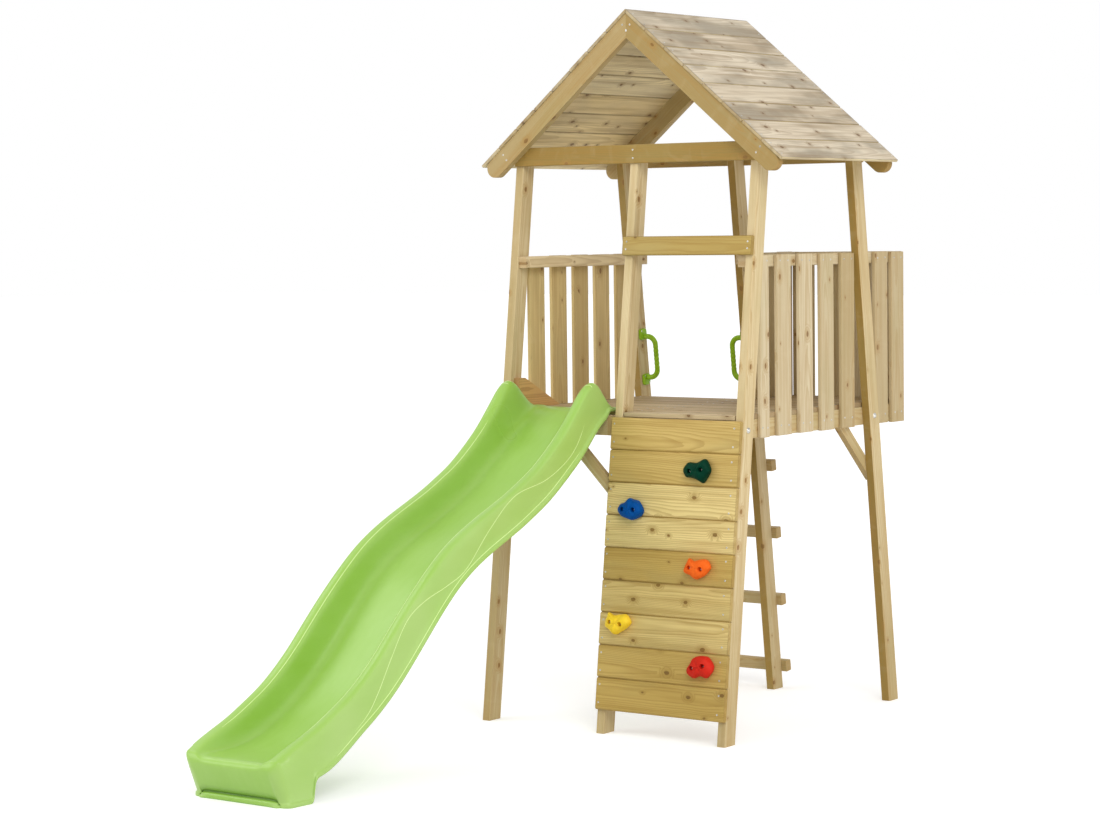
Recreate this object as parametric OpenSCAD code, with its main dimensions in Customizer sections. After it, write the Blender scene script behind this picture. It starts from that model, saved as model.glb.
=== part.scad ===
// Wooden climbing frame: a two-bay tower on six leaning posts with a gabled
// board roof, a wave slide, a climbing wall, a ladder and a railed balcony.
// The ground is z = 0, the front with the slide faces -Y and +X is to the right.

/* [Tower] */
// Spacing of neighbouring posts along the front, centre to centre
bay = 530; // [500:5:600]
// Distance of a post's centre line from the tower's middle, at the ground
post_foot_y = 598; // [570:2:640]
// Lean of the posts towards the tower's middle, in degrees
post_lean = 7.1; // [6:0.1:8]
// Height of the post tops above the rails
head_room = 413; // [370:1:450]
// Thickness of the frame timber, which is also the posts' width from the front
timber_t = 35; // [30:1:40]
// Width of the frame timber, which is also the posts' depth
timber_w = 70; // [60:1:80]
// Width of the lighter timber of rails, rungs and braces
rail_w = 44; // [38:1:50]
// Thickness of the knee braces
brace_t = 25; // [20:1:30]
// Thickness of the sawn boards of the wall, deck, lintel and ties
board_t = 18; // [15:1:22]
// Bevel along the edges of timber and boards
bevel = 2.5; // [1:0.5:4]

/* [Deck and balcony] */
// Height of the joist tops that carry the deck
joist_top = 1164; // [1100:2:1200]
// How far the joists stop behind the posts' front faces
joist_setback = 2; // [1:0.5:6]
// Width of a deck board
deck_board_w = 116; // [100:1:130]
// Gap between deck boards, and between boards and posts
deck_gap = 3; // [2:0.5:6]
// Distance from the tower's middle to the back of the balcony's frame
balcony_y = 726; // [680:2:780]

/* [Climbing wall] */
// Width of a wall board
wall_board_w = 119; // [100:1:120]
// Open joint between wall boards
wall_joint = 1.4; // [0.5:0.1:4]
// Width of a climbing hold
hold_w = 104; // [90:1:120]
// Height of a climbing hold
hold_h = 86; // [75:1:100]
// How far a climbing hold stands out from the wall
hold_d = 44; // [34:1:52]
// Distance between the two bolt holes of a hold
hold_bolts = 49; // [40:1:54]
// Diameter of a hold's bolt hole
hold_bolt_d = 9; // [7:0.5:11]
// Diameter of the recess for a bolt head
hold_recess_d = 17; // [14:0.5:20]

/* [Railings] */
// Height of the tops of the rails and slats above the deck
rail_h = 579; // [520:1:610]
// Width of a railing slat
slat_w = 97; // [80:1:105]
// Thickness of a railing slat
slat_t = 16; // [12:1:20]
// Width of the narrow slat beside the front right post
slat_narrow_w = 62; // [40:1:66]
// Clearance between a slat and a post
slat_clear = 3; // [2:0.5:6]
// Number of slats in the left railing
left_slats = 5; // [4:1:5]
// Number of full slats between the posts of the right railing
right_slats = 4; // [3:1:4]
// Number of slats across the back of the balcony
back_slats = 4; // [3:1:4]

/* [Ladder and handles] */
// Number of ladder rungs
rungs = 4; // [3:1:4]
// Height of the lowest rung's middle
rung_first = 88; // [70:1:120]
// How far a rung reaches past the posts' outer faces
rung_past = 22; // [10:1:30]
// Height of the middle of the grab handles above the deck
handle_up = 159; // [135:1:220]
// Spacing of the two legs of a grab handle
handle_legs = 168; // [145:1:180]
// Distance of the grip's centre line from the post
handle_reach = 63; // [52:1:70]
// Diameter of the handle's bar
handle_d = 18; // [15:0.5:20]
// Side of the handle's square feet
handle_foot = 44; // [38:1:50]
// Thickness of the handle's feet
handle_foot_t = 11; // [8:0.5:14]

/* [Roof] */
// Roof pitch, in degrees
roof_pitch = 39.75; // [38:0.25:42]
// Height of the rafters' upper edges above the ends of the tie beams
rafter_up = 29; // [20:1:40]
// Number of roof boards on each slope
roof_rows = 8; // [7:1:8]
// Width that each roof board covers
roof_board_w = 109; // [104:1:112]
// Thickness of a roof board
roof_t = 12; // [10:1:18]
// Open joint between roof boards
roof_joint = 1.2; // [0.5:0.1:3]
// How far the roof boards reach past the rafters at the gables
roof_past = 5; // [0:1:12]
// How far the roof boards reach past the rafter tails at the eaves
eave_past = 3; // [0:1:30]

/* [Slide] */
// Width of the slide over its side walls
slide_w = 440; // [400:2:450]
// Level length of the slide from its top lip to its toe
slide_run = 1959; // [1800:1:2100]
// How far the top lip lies on the deck
slide_lip = 40; // [25:1:60]
// Thickness of the moulded sheet
slide_t = 5; // [4:0.5:7]
// Height of the side walls above the bed
slide_wall = 100; // [85:1:108]
// Extra height of the side walls at the shoulders
slide_shoulder = 44; // [30:1:52]
// Depth of the skirts below the bed
slide_skirt = 34; // [28:1:40]
// Height of the bed at the toe
slide_toe_z = 146; // [120:1:170]
// Length of the foot that stands on the ground
slide_foot = 149; // [110:1:170]
// Thickness of the wedge board beside the slide's left shoulder
wedge_t = 24; // [18:1:26]
// Length of the wedge board
wedge_l = 264; // [220:2:300]
// Height of the wedge board
wedge_h = 114; // [90:1:130]
// Length of the wedge board's level top
wedge_flat = 42; // [20:1:60]

/* [Bolts] */
// Diameter of the bolts that join posts and joists
bolt_d = 8; // [6:0.5:10]
// Clearance of a bolt in its hole
bolt_clear = 0.5; // [0.3:0.1:1]
// Diameter of a bolt's domed head
bolt_head_d = 22; // [18:0.5:26]
// Height of a bolt's domed head
bolt_head_h = 6; // [4:0.5:8]

/* [Hidden] */
$fn = 48;
// Level half depth of a leaning post, and its distance from the middle at a height
half_d = timber_w / 2 / cos(post_lean);
function post_y(z) = post_foot_y - z * tan(post_lean);
function post_outer(z) = post_y(z) + half_d;
function post_inner(z) = post_y(z) - half_d;
// Post rows and the faces that pieces lie against
half_t = timber_t / 2;
joist_bottom = joist_top - timber_w;
joist_mid = joist_top - timber_w / 2;
deck_top = joist_top + board_t;
rail_top = deck_top + rail_h;
post_h = rail_top + head_room;
handle_z = deck_top + handle_up;
rung_pitch = (deck_top - rung_first) / rungs;
joist_end = post_outer(joist_top) - joist_setback;
end_face = bay - half_t;
frame_in = bay - half_t - timber_t;
// Seat that is cut upright into the post tops for the tie beams
tie_bottom = post_h - timber_w;
seat_y = post_outer(post_h);
tie_y = seat_y + board_t;
rafter_y = tie_y + timber_t;
roof_y = rafter_y + roof_past;
// Roof lines: apex of the boards' underside, ridge and length of a slope
roof_under = post_h + rafter_up + (bay + half_t) * tan(roof_pitch);
ridge_z = roof_under + roof_t / cos(roof_pitch);
roof_slope = roof_rows * roof_board_w;
// Deck rows between the front and back posts
deck_edge = post_inner(deck_top) - deck_gap;
deck_rows = floor((2 * deck_edge + deck_gap) / (deck_board_w + deck_gap));
deck_pitch = (2 * deck_edge + deck_gap) / deck_rows;
balcony_rows = floor((balcony_y - deck_edge) / (deck_board_w + deck_gap));
balcony_pitch = (balcony_y - deck_edge) / balcony_rows;
// Wall boards hang from the joist tops along the posts' front faces and stop clear of the ground
wall_pitch = wall_board_w + wall_joint;
wall_boards = floor((joist_top / cos(post_lean) - timber_w) / wall_pitch);
wall_foot = joist_top / cos(post_lean) - wall_boards * wall_pitch;
// Knee braces: slope, reach along the joists, and gap between the two under the fascia board
brace_angle = 42.5;
brace_reach = 177;
brace_apart = 7;
side_brace_reach = (bay - timber_t - brace_apart) / 2;
// Slats stand evenly between the posts; two more stand behind the back right post
slats_end = post_inner(rail_top) - slat_clear;
left_step = (2 * slats_end - slat_w) / (left_slats - 1);
right_gap = (2 * slats_end - slat_narrow_w - right_slats * slat_w) / right_slats;
balcony_slat_y = [post_outer(joist_bottom) + slat_clear, balcony_y - slat_w];
// Rails start a little behind the front posts' faces; the short one reaches past its post
rail_setback = 5;
rail_front = post_outer(rail_top) - rail_setback;
rail_past = 40;
// Bolt hole size and nut
bolt_hole = bolt_d + 2 * bolt_clear;
nut_d = 1.8 * bolt_d;
nut_h = 0.8 * bolt_d;
// Handle: bend of the bar, corner radius of the feet as a share of their side, and grip ribs
handle_bend = 35;
foot_round = 0.2;
grip_ribs = 7;
rib_h = 6;
rib_gap = 11;
rib_past = 1.5;
// Slide: centre line, start of its bed and its wave as shares of run and drop
slide_x = -bay / 2;
slide_gap = 0.5;
slide_top_y = -deck_edge + slide_lip;
slide_top_z = deck_top + slide_t + slide_gap;
slide_drop = slide_top_z - slide_toe_z;
slide_toe_y = slide_top_y - slide_run;
wave = [
    [0, 1], [0.05, 0.993], [0.141, 0.885], [0.25, 0.745], [0.322, 0.675],
    [0.523, 0.5], [0.735, 0.158], [0.875, 0.02], [1, 0]
];
// Rings of the slide: spacing as a share of the run, halved above fine_to
slide_steps = 40;
fine_to = 0.2;
// Side walls: heights at the lip, the lower swell and the toe, and places as shares of the run
lip_wall = 6;
lip_at = 0.028;
rise_at = 0.108;
shoulder_at = 0.112;
shoulder_wide = 0.055;
wall_swell = 13;
swell_at = 0.7;
swell_wide = 0.09;
toe_wall = 18;
toe_taper = 0.84;
// Skirts: depth below the bed at the head, extra depth at the foot, and where they deepen
head_skirt = 8;
toe_skirt = 36;
skirt_from = 0.075;
skirt_full = 0.165;
skirt_taper = 0.785;
// Rolled toe with a base lip; the toe leans back towards the ground by toe_back
toe_roll = 26;
toe_step = 15;
toe_lip = 11;
toe_lip_h = 18;
toe_lip_round = 2;
toe_narrow = 40;
foot_tuck = 6;
toe_back = 50;
// How many times faster than the roll the toe's bed and crest fall, and the base's share of narrowing
toe_bed_fall = 1;
toe_crest_fall = 1.6;
toe_base_draw = 0.9;
// Profile across a side wall, which takes a share of the half width where the toe is narrow:
// shares of its width, from the slide's side in, and of its height
wall_in = 92;
narrow_in = 0.46;
inner_wall = [[1, 0.05], [0.86, 0.2], [0.75, 0.5], [0.66, 0.86], [0.52, 0.975]];
bed_flat = 0.45;
bed_dish = 0.01;
rim_in = 16;
rim_round = 1;
rim_h = 11;
outer_in = 8;
fold_in = 8;
// Stiffening fold along the skirt's edge: height of its edge, and of its top at toe and head
flange_h = 12;
fold_h = 18;
fold_head_h = 26;
// Where the side is low, its points keep these shares of its height, from rim to flange
low_top = [0.05, 0.3, 0.5, 0.36];
low_under = [0.2, 0.4, 0.45, 0.28];
// Share of the half width that the solid toe's under side spans
toe_base = 0.98;
// Reach of the posts' feet and width over the posts, each with room to spare for cuts
foot_reach = post_foot_y + timber_w;
posts_w = 2 * (bay + timber_t);
// The origin is under the middle of the whole frame
middle_y = (balcony_y + slat_t + slide_toe_y - toe_roll) / 2;

front = -1;
back = 1;
post_names = ["left", "middle", "right"];
wood = "#c9b27a";
wall_wood = "#bfa95c";
rail_wood = "#cdb98d";
roof_wood = "#c2ad92";
wedge_wood = "#b98a5c";
steel = "#d9d9d6";
lime = "#9ac653";
green = "#6f9a1c";
hold_names = ["green", "blue", "orange", "yellow", "red"];
hold_colours = ["#0c5a45", "#1c5cb8", "#f0672a", "#f2d23a", "#d8262c"];
// Each hold: shares of the wall's width and height from its lower left corner, and tilt
hold_spots = [
    [0.708, 0.828, 8], [0.216, 0.684, 0], [0.756, 0.502, -4], [0.165, 0.296, -6], [0.818, 0.176, 12]
];

// Rectangle between two corners with cut-off corners
function bevelled(a, b, c = bevel) = [
    [a.x + c, a.y], [b.x - c, a.y], [b.x, a.y + c], [b.x, b.y - c],
    [b.x - c, b.y], [a.x + c, b.y], [a.x, b.y - c], [a.x, a.y + c]
];

// Profile in the YZ plane, run along X
module along_x(x0, x1) {
    translate([x0, 0, 0]) rotate([90, 0, 90]) linear_extrude(x1 - x0) children();
}

// Profile in the XZ plane, run along Y
module along_y(y0, y1) {
    translate([0, y1, 0]) rotate([90, 0, 0]) linear_extrude(y1 - y0) children();
}

// Profile in the XY plane, run up Z
module along_z(z0, z1) {
    translate([0, 0, z0]) linear_extrude(z1 - z0) children();
}

// Frame whose Z runs up the outer face of a leaning row of posts
module on_face(side) {
    translate([0, side * (post_foot_y + half_d), 0]) rotate([side * post_lean, 0, 0]) children();
}

// Hole for a bolt through posts and joists
module bolt_holes() {
    for (side = [front, back])
        translate([-posts_w / 2, side * post_y(joist_mid), joist_mid])
            rotate([0, 90, 0]) cylinder(d = bolt_hole, h = posts_w);
}

module post(x, side) {
    color(wood) difference() {
        intersection() {
            translate([x, side * post_foot_y, 0]) rotate([side * post_lean, 0, 0])
                along_z(-timber_w, post_h + 2 * timber_w)
                    polygon(bevelled([-half_t, -timber_w / 2], [half_t, timber_w / 2]));
            translate([x - timber_t, side > 0 ? 0 : -foot_reach, 0])
                cube([2 * timber_t, foot_reach, post_h]);
        }
        translate([x - timber_t, side > 0 ? seat_y : -seat_y - timber_w, tie_bottom])
            cube([2 * timber_t, timber_w, 2 * timber_w]);
        bolt_holes();
    }
}

// Joist along Y whose lower x is given
module joist(x, y1) {
    color(wood) difference() {
        along_y(-joist_end, y1)
            polygon(bevelled([x, joist_bottom], [x + timber_t, joist_top]));
        bolt_holes();
    }
}

// Board across the ends of two joists
module fascia(x0, x1, y0) {
    color(wood) along_x(x0, x1)
        polygon(bevelled([y0, joist_bottom], [y0 + board_t, joist_top]));
}

// Height at which a brace's edge that starts at y under a joist meets a back post's middle
function brace_foot(y) =
    (y + joist_bottom / tan(brace_angle) - post_foot_y) / (1 / tan(brace_angle) - tan(post_lean));

// Knee brace in line with a joist, beside a back post
module back_brace(x) {
    start = post_inner(joist_bottom) - brace_reach;
    wide = rail_w / sin(brace_angle);
    low = brace_foot(start);
    high = brace_foot(start + wide);
    color(wood) along_x(x, x + brace_t)
        polygon([
            [start, joist_bottom], [post_y(low), low],
            [post_y(high), high], [start + wide, joist_bottom]
        ]);
}

// Knee brace from a front post's side up to the fascia board under the slide, flush with the post
module side_brace(x, way) {
    foot = (joist_bottom - side_brace_reach * tan(brace_angle)) / cos(post_lean);
    run = side_brace_reach + timber_t;
    head = foot + run * tan(brace_angle);
    color(wood) intersection() {
        on_face(front) along_y(0, brace_t)
            polygon([
                [x, foot], [x, foot + rail_w / cos(brace_angle)],
                [x + way * (run - rail_w / sin(brace_angle)), head], [x + way * run, head]
            ]);
        translate([-bay, -foot_reach, 0]) cube([bay, foot_reach, joist_bottom]);
    }
}

module deck_boards() {
    color(rail_wood)
        for (i = [0 : deck_rows - 1]) {
            y0 = -deck_edge + i * deck_pitch;
            along_x(-end_face, end_face)
                polygon(bevelled([y0, joist_top], [y0 + deck_pitch - deck_gap, deck_top]));
        }
}

// Board between the front posts of the right bay
module deck_front_board() {
    color(rail_wood) along_x(half_t + deck_gap, end_face - deck_gap)
        polygon(bevelled([-joist_end, joist_top], [-deck_edge - deck_gap, deck_top]));
}

module balcony_boards() {
    color(rail_wood)
        for (i = [0 : balcony_rows - 1]) {
            y0 = deck_edge + deck_gap + i * balcony_pitch;
            along_x(half_t + deck_gap, end_face - deck_gap)
                polygon(bevelled([y0, joist_top], [y0 + balcony_pitch - deck_gap, deck_top]));
        }
}

module wall_board(i) {
    s = wall_foot + i * wall_pitch;
    color(wall_wood) on_face(front) along_x(-half_t, bay + half_t)
        polygon(bevelled([-board_t, s], [0, s + wall_board_w], 2 * bevel));
}

// Moulded climbing hold: a lobed lump on the wall with two recessed bolt holes.
// Its rings give a share of the outline and of the depth
hold_rings = [[0.95, 0], [1, 0.14], [0.98, 0.4], [0.88, 0.7], [0.66, 0.9], [0.32, 0.97]];
hold_sides = 24;
hold_lean = 0.1;
// Lobing of each hold: strength of its two-, three- and five-fold waves, and their phase
hold_forms = [
    [0.14, 0.06, 0.03, 20], [0.06, 0.08, 0.05, 70], [0.03, 0.05, 0.1, 145],
    [0.05, 0.09, 0.07, 215], [0.05, 0.03, 0.02, 290]
];
function hold_outline(a, form) =
    1 + form[0] * cos(2 * a + form[3]) + form[1] * cos(3 * a + 2 * form[3])
    + form[2] * cos(5 * a - form[3]);
function hold_point(ring, a, form) =
    let (r = ring[0] * hold_outline(a, form))
    [
        hold_w / 2 * r * cos(a), hold_h / 2 * r * sin(a),
        hold_d * ring[1] * (1 + hold_lean * ring[1] * sin(a + form[3]))
    ];

module hold(i) {
    spot = hold_spots[i];
    n = hold_sides;
    top = len(hold_rings) - 1;
    points = concat(
        [for (ring = hold_rings, j = [0 : n - 1]) hold_point(ring, 360 * j / n, hold_forms[i])],
        [[0, 0, hold_d]]
    );
    faces = concat(
        [[for (j = [0 : n - 1]) j]],
        [for (k = [0 : top - 1], j = [0 : n - 1]) [k * n + j, (k + 1) * n + j, (k + 1) * n + (j + 1) % n]],
        [for (k = [0 : top - 1], j = [0 : n - 1])
            [k * n + j, (k + 1) * n + (j + 1) % n, k * n + (j + 1) % n]],
        [for (j = [0 : n - 1]) [top * n + j, len(points) - 1, top * n + (j + 1) % n]]
    );
    color(hold_colours[i]) on_face(front)
        translate([
            spot[0] * (bay + timber_t) - half_t, -board_t, wall_foot + spot[1] * wall_boards * wall_pitch
        ])
            rotate([90, 0, 0]) rotate([0, 0, spot[2]]) difference() {
                polyhedron(points, faces);
                for (side = [-1, 1]) translate([side * hold_bolts / 2, 0, 0]) {
                    translate([0, 0, -1]) cylinder(d = hold_bolt_d, h = 2 * hold_d);
                    translate([0, 0, hold_d / 2]) cylinder(d = hold_recess_d, h = hold_d);
                }
            }
}

module rung(i) {
    s = (rung_first + i * rung_pitch) / cos(post_lean);
    color(wood) on_face(back) along_x(-bay - half_t - rung_past, half_t + rung_past)
        polygon(bevelled([0, s - rail_w / 2], [timber_t, s + rail_w / 2]));
}

// Square handle foot with rounded corners
module handle_plate() {
    r = handle_foot * foot_round;
    h = handle_foot / 2;
    square([handle_foot, handle_foot - 2 * r], center = true);
    square([handle_foot - 2 * r, handle_foot], center = true);
    for (x = [-1, 1], y = [-1, 1]) translate([x * (h - r), y * (h - r)]) circle(r);
}

// Grab handle that stands out along X, with its grip along Z
module handle() {
    half = handle_legs / 2;
    straight = half - handle_bend;
    for (end = [-1, 1]) {
        translate([0, 0, end * (half + handle_foot / 2 - handle_d)])
            rotate([90, 0, 90]) linear_extrude(handle_foot_t) handle_plate();
        translate([0, 0, end * half]) rotate([0, 90, 0])
            cylinder(d = handle_d, h = handle_reach - handle_bend);
        translate([handle_reach - handle_bend, 0, end * straight]) rotate([90, 0, 0])
            rotate([0, 0, end > 0 ? 0 : -90]) rotate_extrude(angle = 90)
                translate([handle_bend, 0]) circle(d = handle_d);
    }
    translate([handle_reach, 0, -straight]) cylinder(d = handle_d, h = 2 * straight);
    for (i = [0 : grip_ribs - 1])
        translate([handle_reach, 0, (i - (grip_ribs - 1) / 2) * rib_gap - rib_h / 2])
            cylinder(d = handle_d + 2 * rib_past, h = rib_h);
}

module handle_at(x, way) {
    color(green) translate([x, post_y(handle_z), handle_z]) rotate([post_lean, 0, 0])
        rotate([0, 0, way > 0 ? 0 : 180]) handle();
}

// Rail along Y whose lower x is given
module side_rail(x, y0, y1) {
    color(rail_wood) along_y(y0, y1)
        polygon(bevelled([x, rail_top - rail_w], [x + timber_t, rail_top]));
}

module back_rail() {
    color(rail_wood) along_x(half_t + timber_t, frame_in)
        polygon(bevelled([balcony_y - timber_t, rail_top - rail_w], [balcony_y, rail_top]));
}

// Upright slat on a railing along Y
module side_slat(x, y, wide = slat_w) {
    color(rail_wood) along_z(joist_bottom, rail_top)
        polygon(bevelled([x, y], [x + slat_t, y + wide]));
}

module slats_left() {
    for (i = [0 : left_slats - 1]) side_slat(-end_face - slat_t, i * left_step - slats_end);
}

// A narrow slat stands beside the front post
module slats_right() {
    side_slat(end_face, -slats_end, slat_narrow_w);
    for (i = [0 : right_slats - 1])
        side_slat(end_face, slats_end - slat_w - i * (slat_w + right_gap));
    for (y = balcony_slat_y) side_slat(end_face, y);
}

module slats_balcony_side() {
    for (y = balcony_slat_y) side_slat(half_t - slat_t, y);
}

module slats_balcony_back() {
    step = (end_face - half_t - slat_w) / (back_slats - 1);
    color(rail_wood)
        for (i = [0 : back_slats - 1])
            along_z(joist_bottom, rail_top)
                polygon(bevelled(
                    [half_t + i * step, balcony_y], [half_t + i * step + slat_w, balcony_y + slat_t]));
}

module lintel() {
    s = rail_top / cos(post_lean);
    color(wall_wood) on_face(front) along_x(-half_t, bay + half_t)
        polygon(bevelled([-board_t, s], [0, s + timber_w]));
}

module tie(side) {
    y0 = side > 0 ? seat_y : -tie_y;
    color(wood) along_x(-bay - half_t, bay + half_t)
        polygon(bevelled([y0, tie_bottom], [y0 + board_t, post_h]));
}

// Rafter with an upright top cut and a half-round tail
module rafter(way, side) {
    y0 = side > 0 ? tie_y : -rafter_y;
    r = timber_w / 2;
    tail = roof_slope - eave_past - r;
    color(wood) along_y(y0, y0 + timber_t) mirror([way > 0 ? 0 : 1, 0]) intersection() {
        translate([0, roof_under]) rotate(-roof_pitch) {
            translate([-timber_w, -timber_w]) square([tail + timber_w, timber_w]);
            translate([tail, -r]) circle(r);
        }
        square([roof_slope, ridge_z]);
    }
}

// Boards of one slope; the topmost is cut to meet the other slope at the ridge
module roof_boards(way) {
    edge = roof_board_w - bevel;
    color(roof_wood) along_y(-roof_y, roof_y) mirror([way > 0 ? 0 : 1, 0])
        translate([0, roof_under]) rotate(-roof_pitch) {
            for (i = [1 : roof_rows - 1])
                translate([i * roof_board_w, 0])
                    polygon(bevelled([roof_joint, 0], [roof_board_w, roof_t]));
            polygon([
                [roof_joint, 0], [edge, 0], [roof_board_w, bevel], [roof_board_w, roof_t - bevel],
                [edge, roof_t], [roof_joint - roof_t * tan(roof_pitch), roof_t]
            ]);
        }
}

// Smooth curve through the wave's knots
function knot_slope(i) =
    i == 0 || i == len(wave) - 1
        ? 0
        : (wave[i + 1].y - wave[i - 1].y) / (wave[i + 1].x - wave[i - 1].x);
function knot_below(u) = max([for (i = [0 : len(wave) - 2]) if (u >= wave[i].x) i]);
function wave_at(u) =
    let (i = knot_below(u), w = wave[i + 1].x - wave[i].x, t = (u - wave[i].x) / w)
    (1 + 2 * t) * pow(1 - t, 2) * wave[i].y + t * pow(1 - t, 2) * w * knot_slope(i)
    + t * t * (3 - 2 * t) * wave[i + 1].y + t * t * (t - 1) * w * knot_slope(i + 1);
function ease(t) = let (c = min(1, max(0, t))) c * c * (3 - 2 * c);

// Bed height, cosine of the bed's slope and side wall height at a share of the run
function bed_z(u) = slide_toe_z + slide_drop * wave_at(u);
function bed_cos(u) =
    let (h = 0.004, a = max(0, u - h), b = min(1, u + h), fall = bed_z(b) - bed_z(a))
    cos(atan(fall / ((b - a) * slide_run)));
function wall_h(u) =
    let (
        shoulder = slide_shoulder * exp(-pow((u - shoulder_at) / shoulder_wide, 2)),
        swell = wall_swell * exp(-pow((u - swell_at) / swell_wide, 2)),
        rise = lip_wall + (slide_wall + slide_shoulder) * ease((u - lip_at) / (rise_at - lip_at)),
        toe = slide_wall + (toe_wall - slide_wall) * pow(max(0, u - toe_taper) / (1 - toe_taper), 2)
    )
    min(rise, toe + swell + shoulder);

// Ring of the moulding: place along Y, heights of bed, crest and skirt, half width, sheet
// thickness, draw-in of the skirt, height of the stiffening fold and setback at the ground
function run_ring(u) =
    let (
        y = slide_top_y - u * slide_run,
        z = bed_z(u),
        c = bed_cos(u),
        on_deck = y > -joist_end - slide_gap,
        foot = (slide_toe_y + slide_foot - y) / slide_foot,
        deep = head_skirt + (slide_skirt - head_skirt) * ease((u - skirt_from) / (skirt_full - skirt_from))
            + toe_skirt * ease((u - skirt_taper) / (foot_start - skirt_taper)),
        skirt = foot > 0 ? 0 : on_deck ? deck_top + slide_gap : z - deep / c,
        fold = fold_head_h + (fold_h - fold_head_h) * ease((u - shoulder_at) / (2 * fine_to))
    )
    [
        y, z, z + wall_h(u) / c, skirt, slide_w / 2, slide_t, foot_tuck * ease(foot), fold,
        toe_back * ease(foot)
    ];
// Solid rings that roll over the toe, fall to the base lip and end it
function toe_ring(a) =
    let (down = toe_roll * (1 - cos(a)), narrow = toe_narrow * (1 - cos(a)))
    [
        slide_toe_y - toe_roll * sin(a), slide_toe_z - toe_bed_fall * down,
        slide_toe_z + toe_wall - toe_crest_fall * down, 0,
        slide_w / 2 - narrow, 0, foot_tuck - (1 - toe_base_draw) * narrow, fold_h, toe_back
    ];
function lip_ring(past, h, draw) =
    [slide_toe_y - toe_roll - past, h, h, 0, slide_w / 2 - foot_tuck - draw, 0, 0, fold_h, toe_back];
// Place along Y of a ring's point at height z
function ring_y(r, z) =
    let (up = (z - toe_lip_h) / (slide_toe_z - toe_roll - toe_lip_h))
    r[0] + r[8] * (1 - min(1, max(0, up)));
foot_start = 1 - slide_foot / slide_run;
foot_edge = 0.001;
run_places = [for (i = [0 : slide_steps]) i / slide_steps];
slide_places = concat(
    [for (i = [0 : 2 * slide_steps * fine_to]) i / slide_steps / 2],
    [for (u = run_places) if (u > fine_to + foot_edge && u < foot_start - 4 * foot_edge) u],
    [foot_start - foot_edge, foot_start + foot_edge],
    [for (u = run_places) if (u > foot_start + 4 * foot_edge) u]
);
slide_rings = concat(
    [for (u = slide_places) run_ring(u)],
    [for (a = [toe_step : toe_step : 90]) toe_ring(a)],
    [
        lip_ring(toe_lip / 4, toe_lip_h + toe_lip_round, toe_base_draw * toe_narrow),
        lip_ring(toe_lip, toe_lip_h, toe_base_draw * toe_narrow + toe_lip)
    ]
);

// Right half of a ring's upper side, from the bed's middle out to the skirt
function ring_top(r) =
    let (
        zb = r[1], zc = r[2], zs = r[3], w = r[4], tuck = r[6], d = zc - zb, side = zc - zs,
        in = min(wall_in, narrow_in * w)
    )
    concat(
        [[0, zb], [w * bed_flat, zb + bed_dish * d]],
        [for (p = inner_wall) [w - p[0] * in, zb + p[1] * d]],
        [
            [w - rim_in, zc - min(rim_round, low_top[0] * side)],
            [w - outer_in, zc - min(rim_h, low_top[1] * side)],
            [w - fold_in - tuck, zs + min(r[7], low_top[2] * side)],
            [w - tuck, zs + min(flange_h, low_top[3] * side)],
            [w - tuck, zs]
        ]
    );
// Its under side, point for point; a ring with no sheet thickness is solid down to the ground
function ring_under(r) =
    let (zb = r[1], zc = r[2], zs = r[3], w = r[4], t = r[5], tuck = r[6], d = zc - zb, side = zc - zs)
    t == 0
        ? [for (i = [0 : len(inner_wall) + 6]) [toe_base * (w - tuck) * i / (len(inner_wall) + 6), zs]]
        : concat(
            [[0, zb - t], [w * bed_flat, zb + bed_dish * d - t]],
            [for (i = [0 : len(inner_wall) - 1])
                let (p = inner_wall[i], out = t * min(1, i / 2))
                [w - p[0] * wall_in + out * (i < 4 ? 1 : 0.4), max(zs, zb + p[1] * d - t)]],
            [
                [w - rim_in - 0.4 * t, zc - min(1.2 * t, low_under[0] * side)],
                [w - outer_in - t, zc - min(rim_h + 0.6 * t, low_under[1] * side)],
                [w - fold_in - t - tuck, zs + min(r[7] - 0.6 * t, low_under[2] * side)],
                [w - 1.2 * t - tuck, zs + min(flange_h - 0.8 * t, low_under[3] * side)],
                [w - t - tuck, zs]
            ]
        );
// Whole ring: upper side from left to right, then the under side back
function mirrored(half) = concat([for (i = [len(half) - 1 : -1 : 1]) [-half[i].x, half[i].y]], half);
function reversed(list) = [for (i = [len(list) - 1 : -1 : 0]) list[i]];
function ring_loop(r) = concat(mirrored(ring_top(r)), reversed(mirrored(ring_under(r))));

// Faces that close a ring of n points from number a on, between its upper and under side
function cap_faces(a, n) = [
    for (j = [0 : n / 2 - 2])
        each j < n / 4
            ? [[a + j, a + j + 1, a + n - 1 - j], [a + j + 1, a + n - 2 - j, a + n - 1 - j]]
            : [[a + j, a + j + 1, a + n - 2 - j], [a + j, a + n - 2 - j, a + n - 1 - j]]
];

module slide() {
    loops = [for (r = slide_rings) [for (p = ring_loop(r)) [slide_x + p.x, ring_y(r, p.y), p.y]]];
    n = len(loops[0]);
    last = len(loops) - 1;
    points = [for (loop = loops, p = loop) p];
    faces = concat(
        [for (k = [0 : last - 1], j = [0 : n - 1])
            [k * n + j, k * n + (j + 1) % n, (k + 1) * n + (j + 1) % n]],
        [for (k = [0 : last - 1], j = [0 : n - 1]) [k * n + j, (k + 1) * n + (j + 1) % n, (k + 1) * n + j]],
        [for (f = cap_faces(0, n)) reversed(f)],
        cap_faces(last * n, n)
    );
    color(lime) polyhedron(points, faces);
}

// Wedge board on the deck beside the slide's left shoulder
module wedge_board() {
    y0 = -post_y(deck_top);
    color(wedge_wood) along_x(-end_face, -end_face + wedge_t)
        polygon([
            [y0, deck_top], [y0 + wedge_l, deck_top], [y0 + wedge_l, deck_top + bevel],
            [y0 + wedge_flat, deck_top + wedge_h], [y0, deck_top + wedge_h]
        ]);
}

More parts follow.
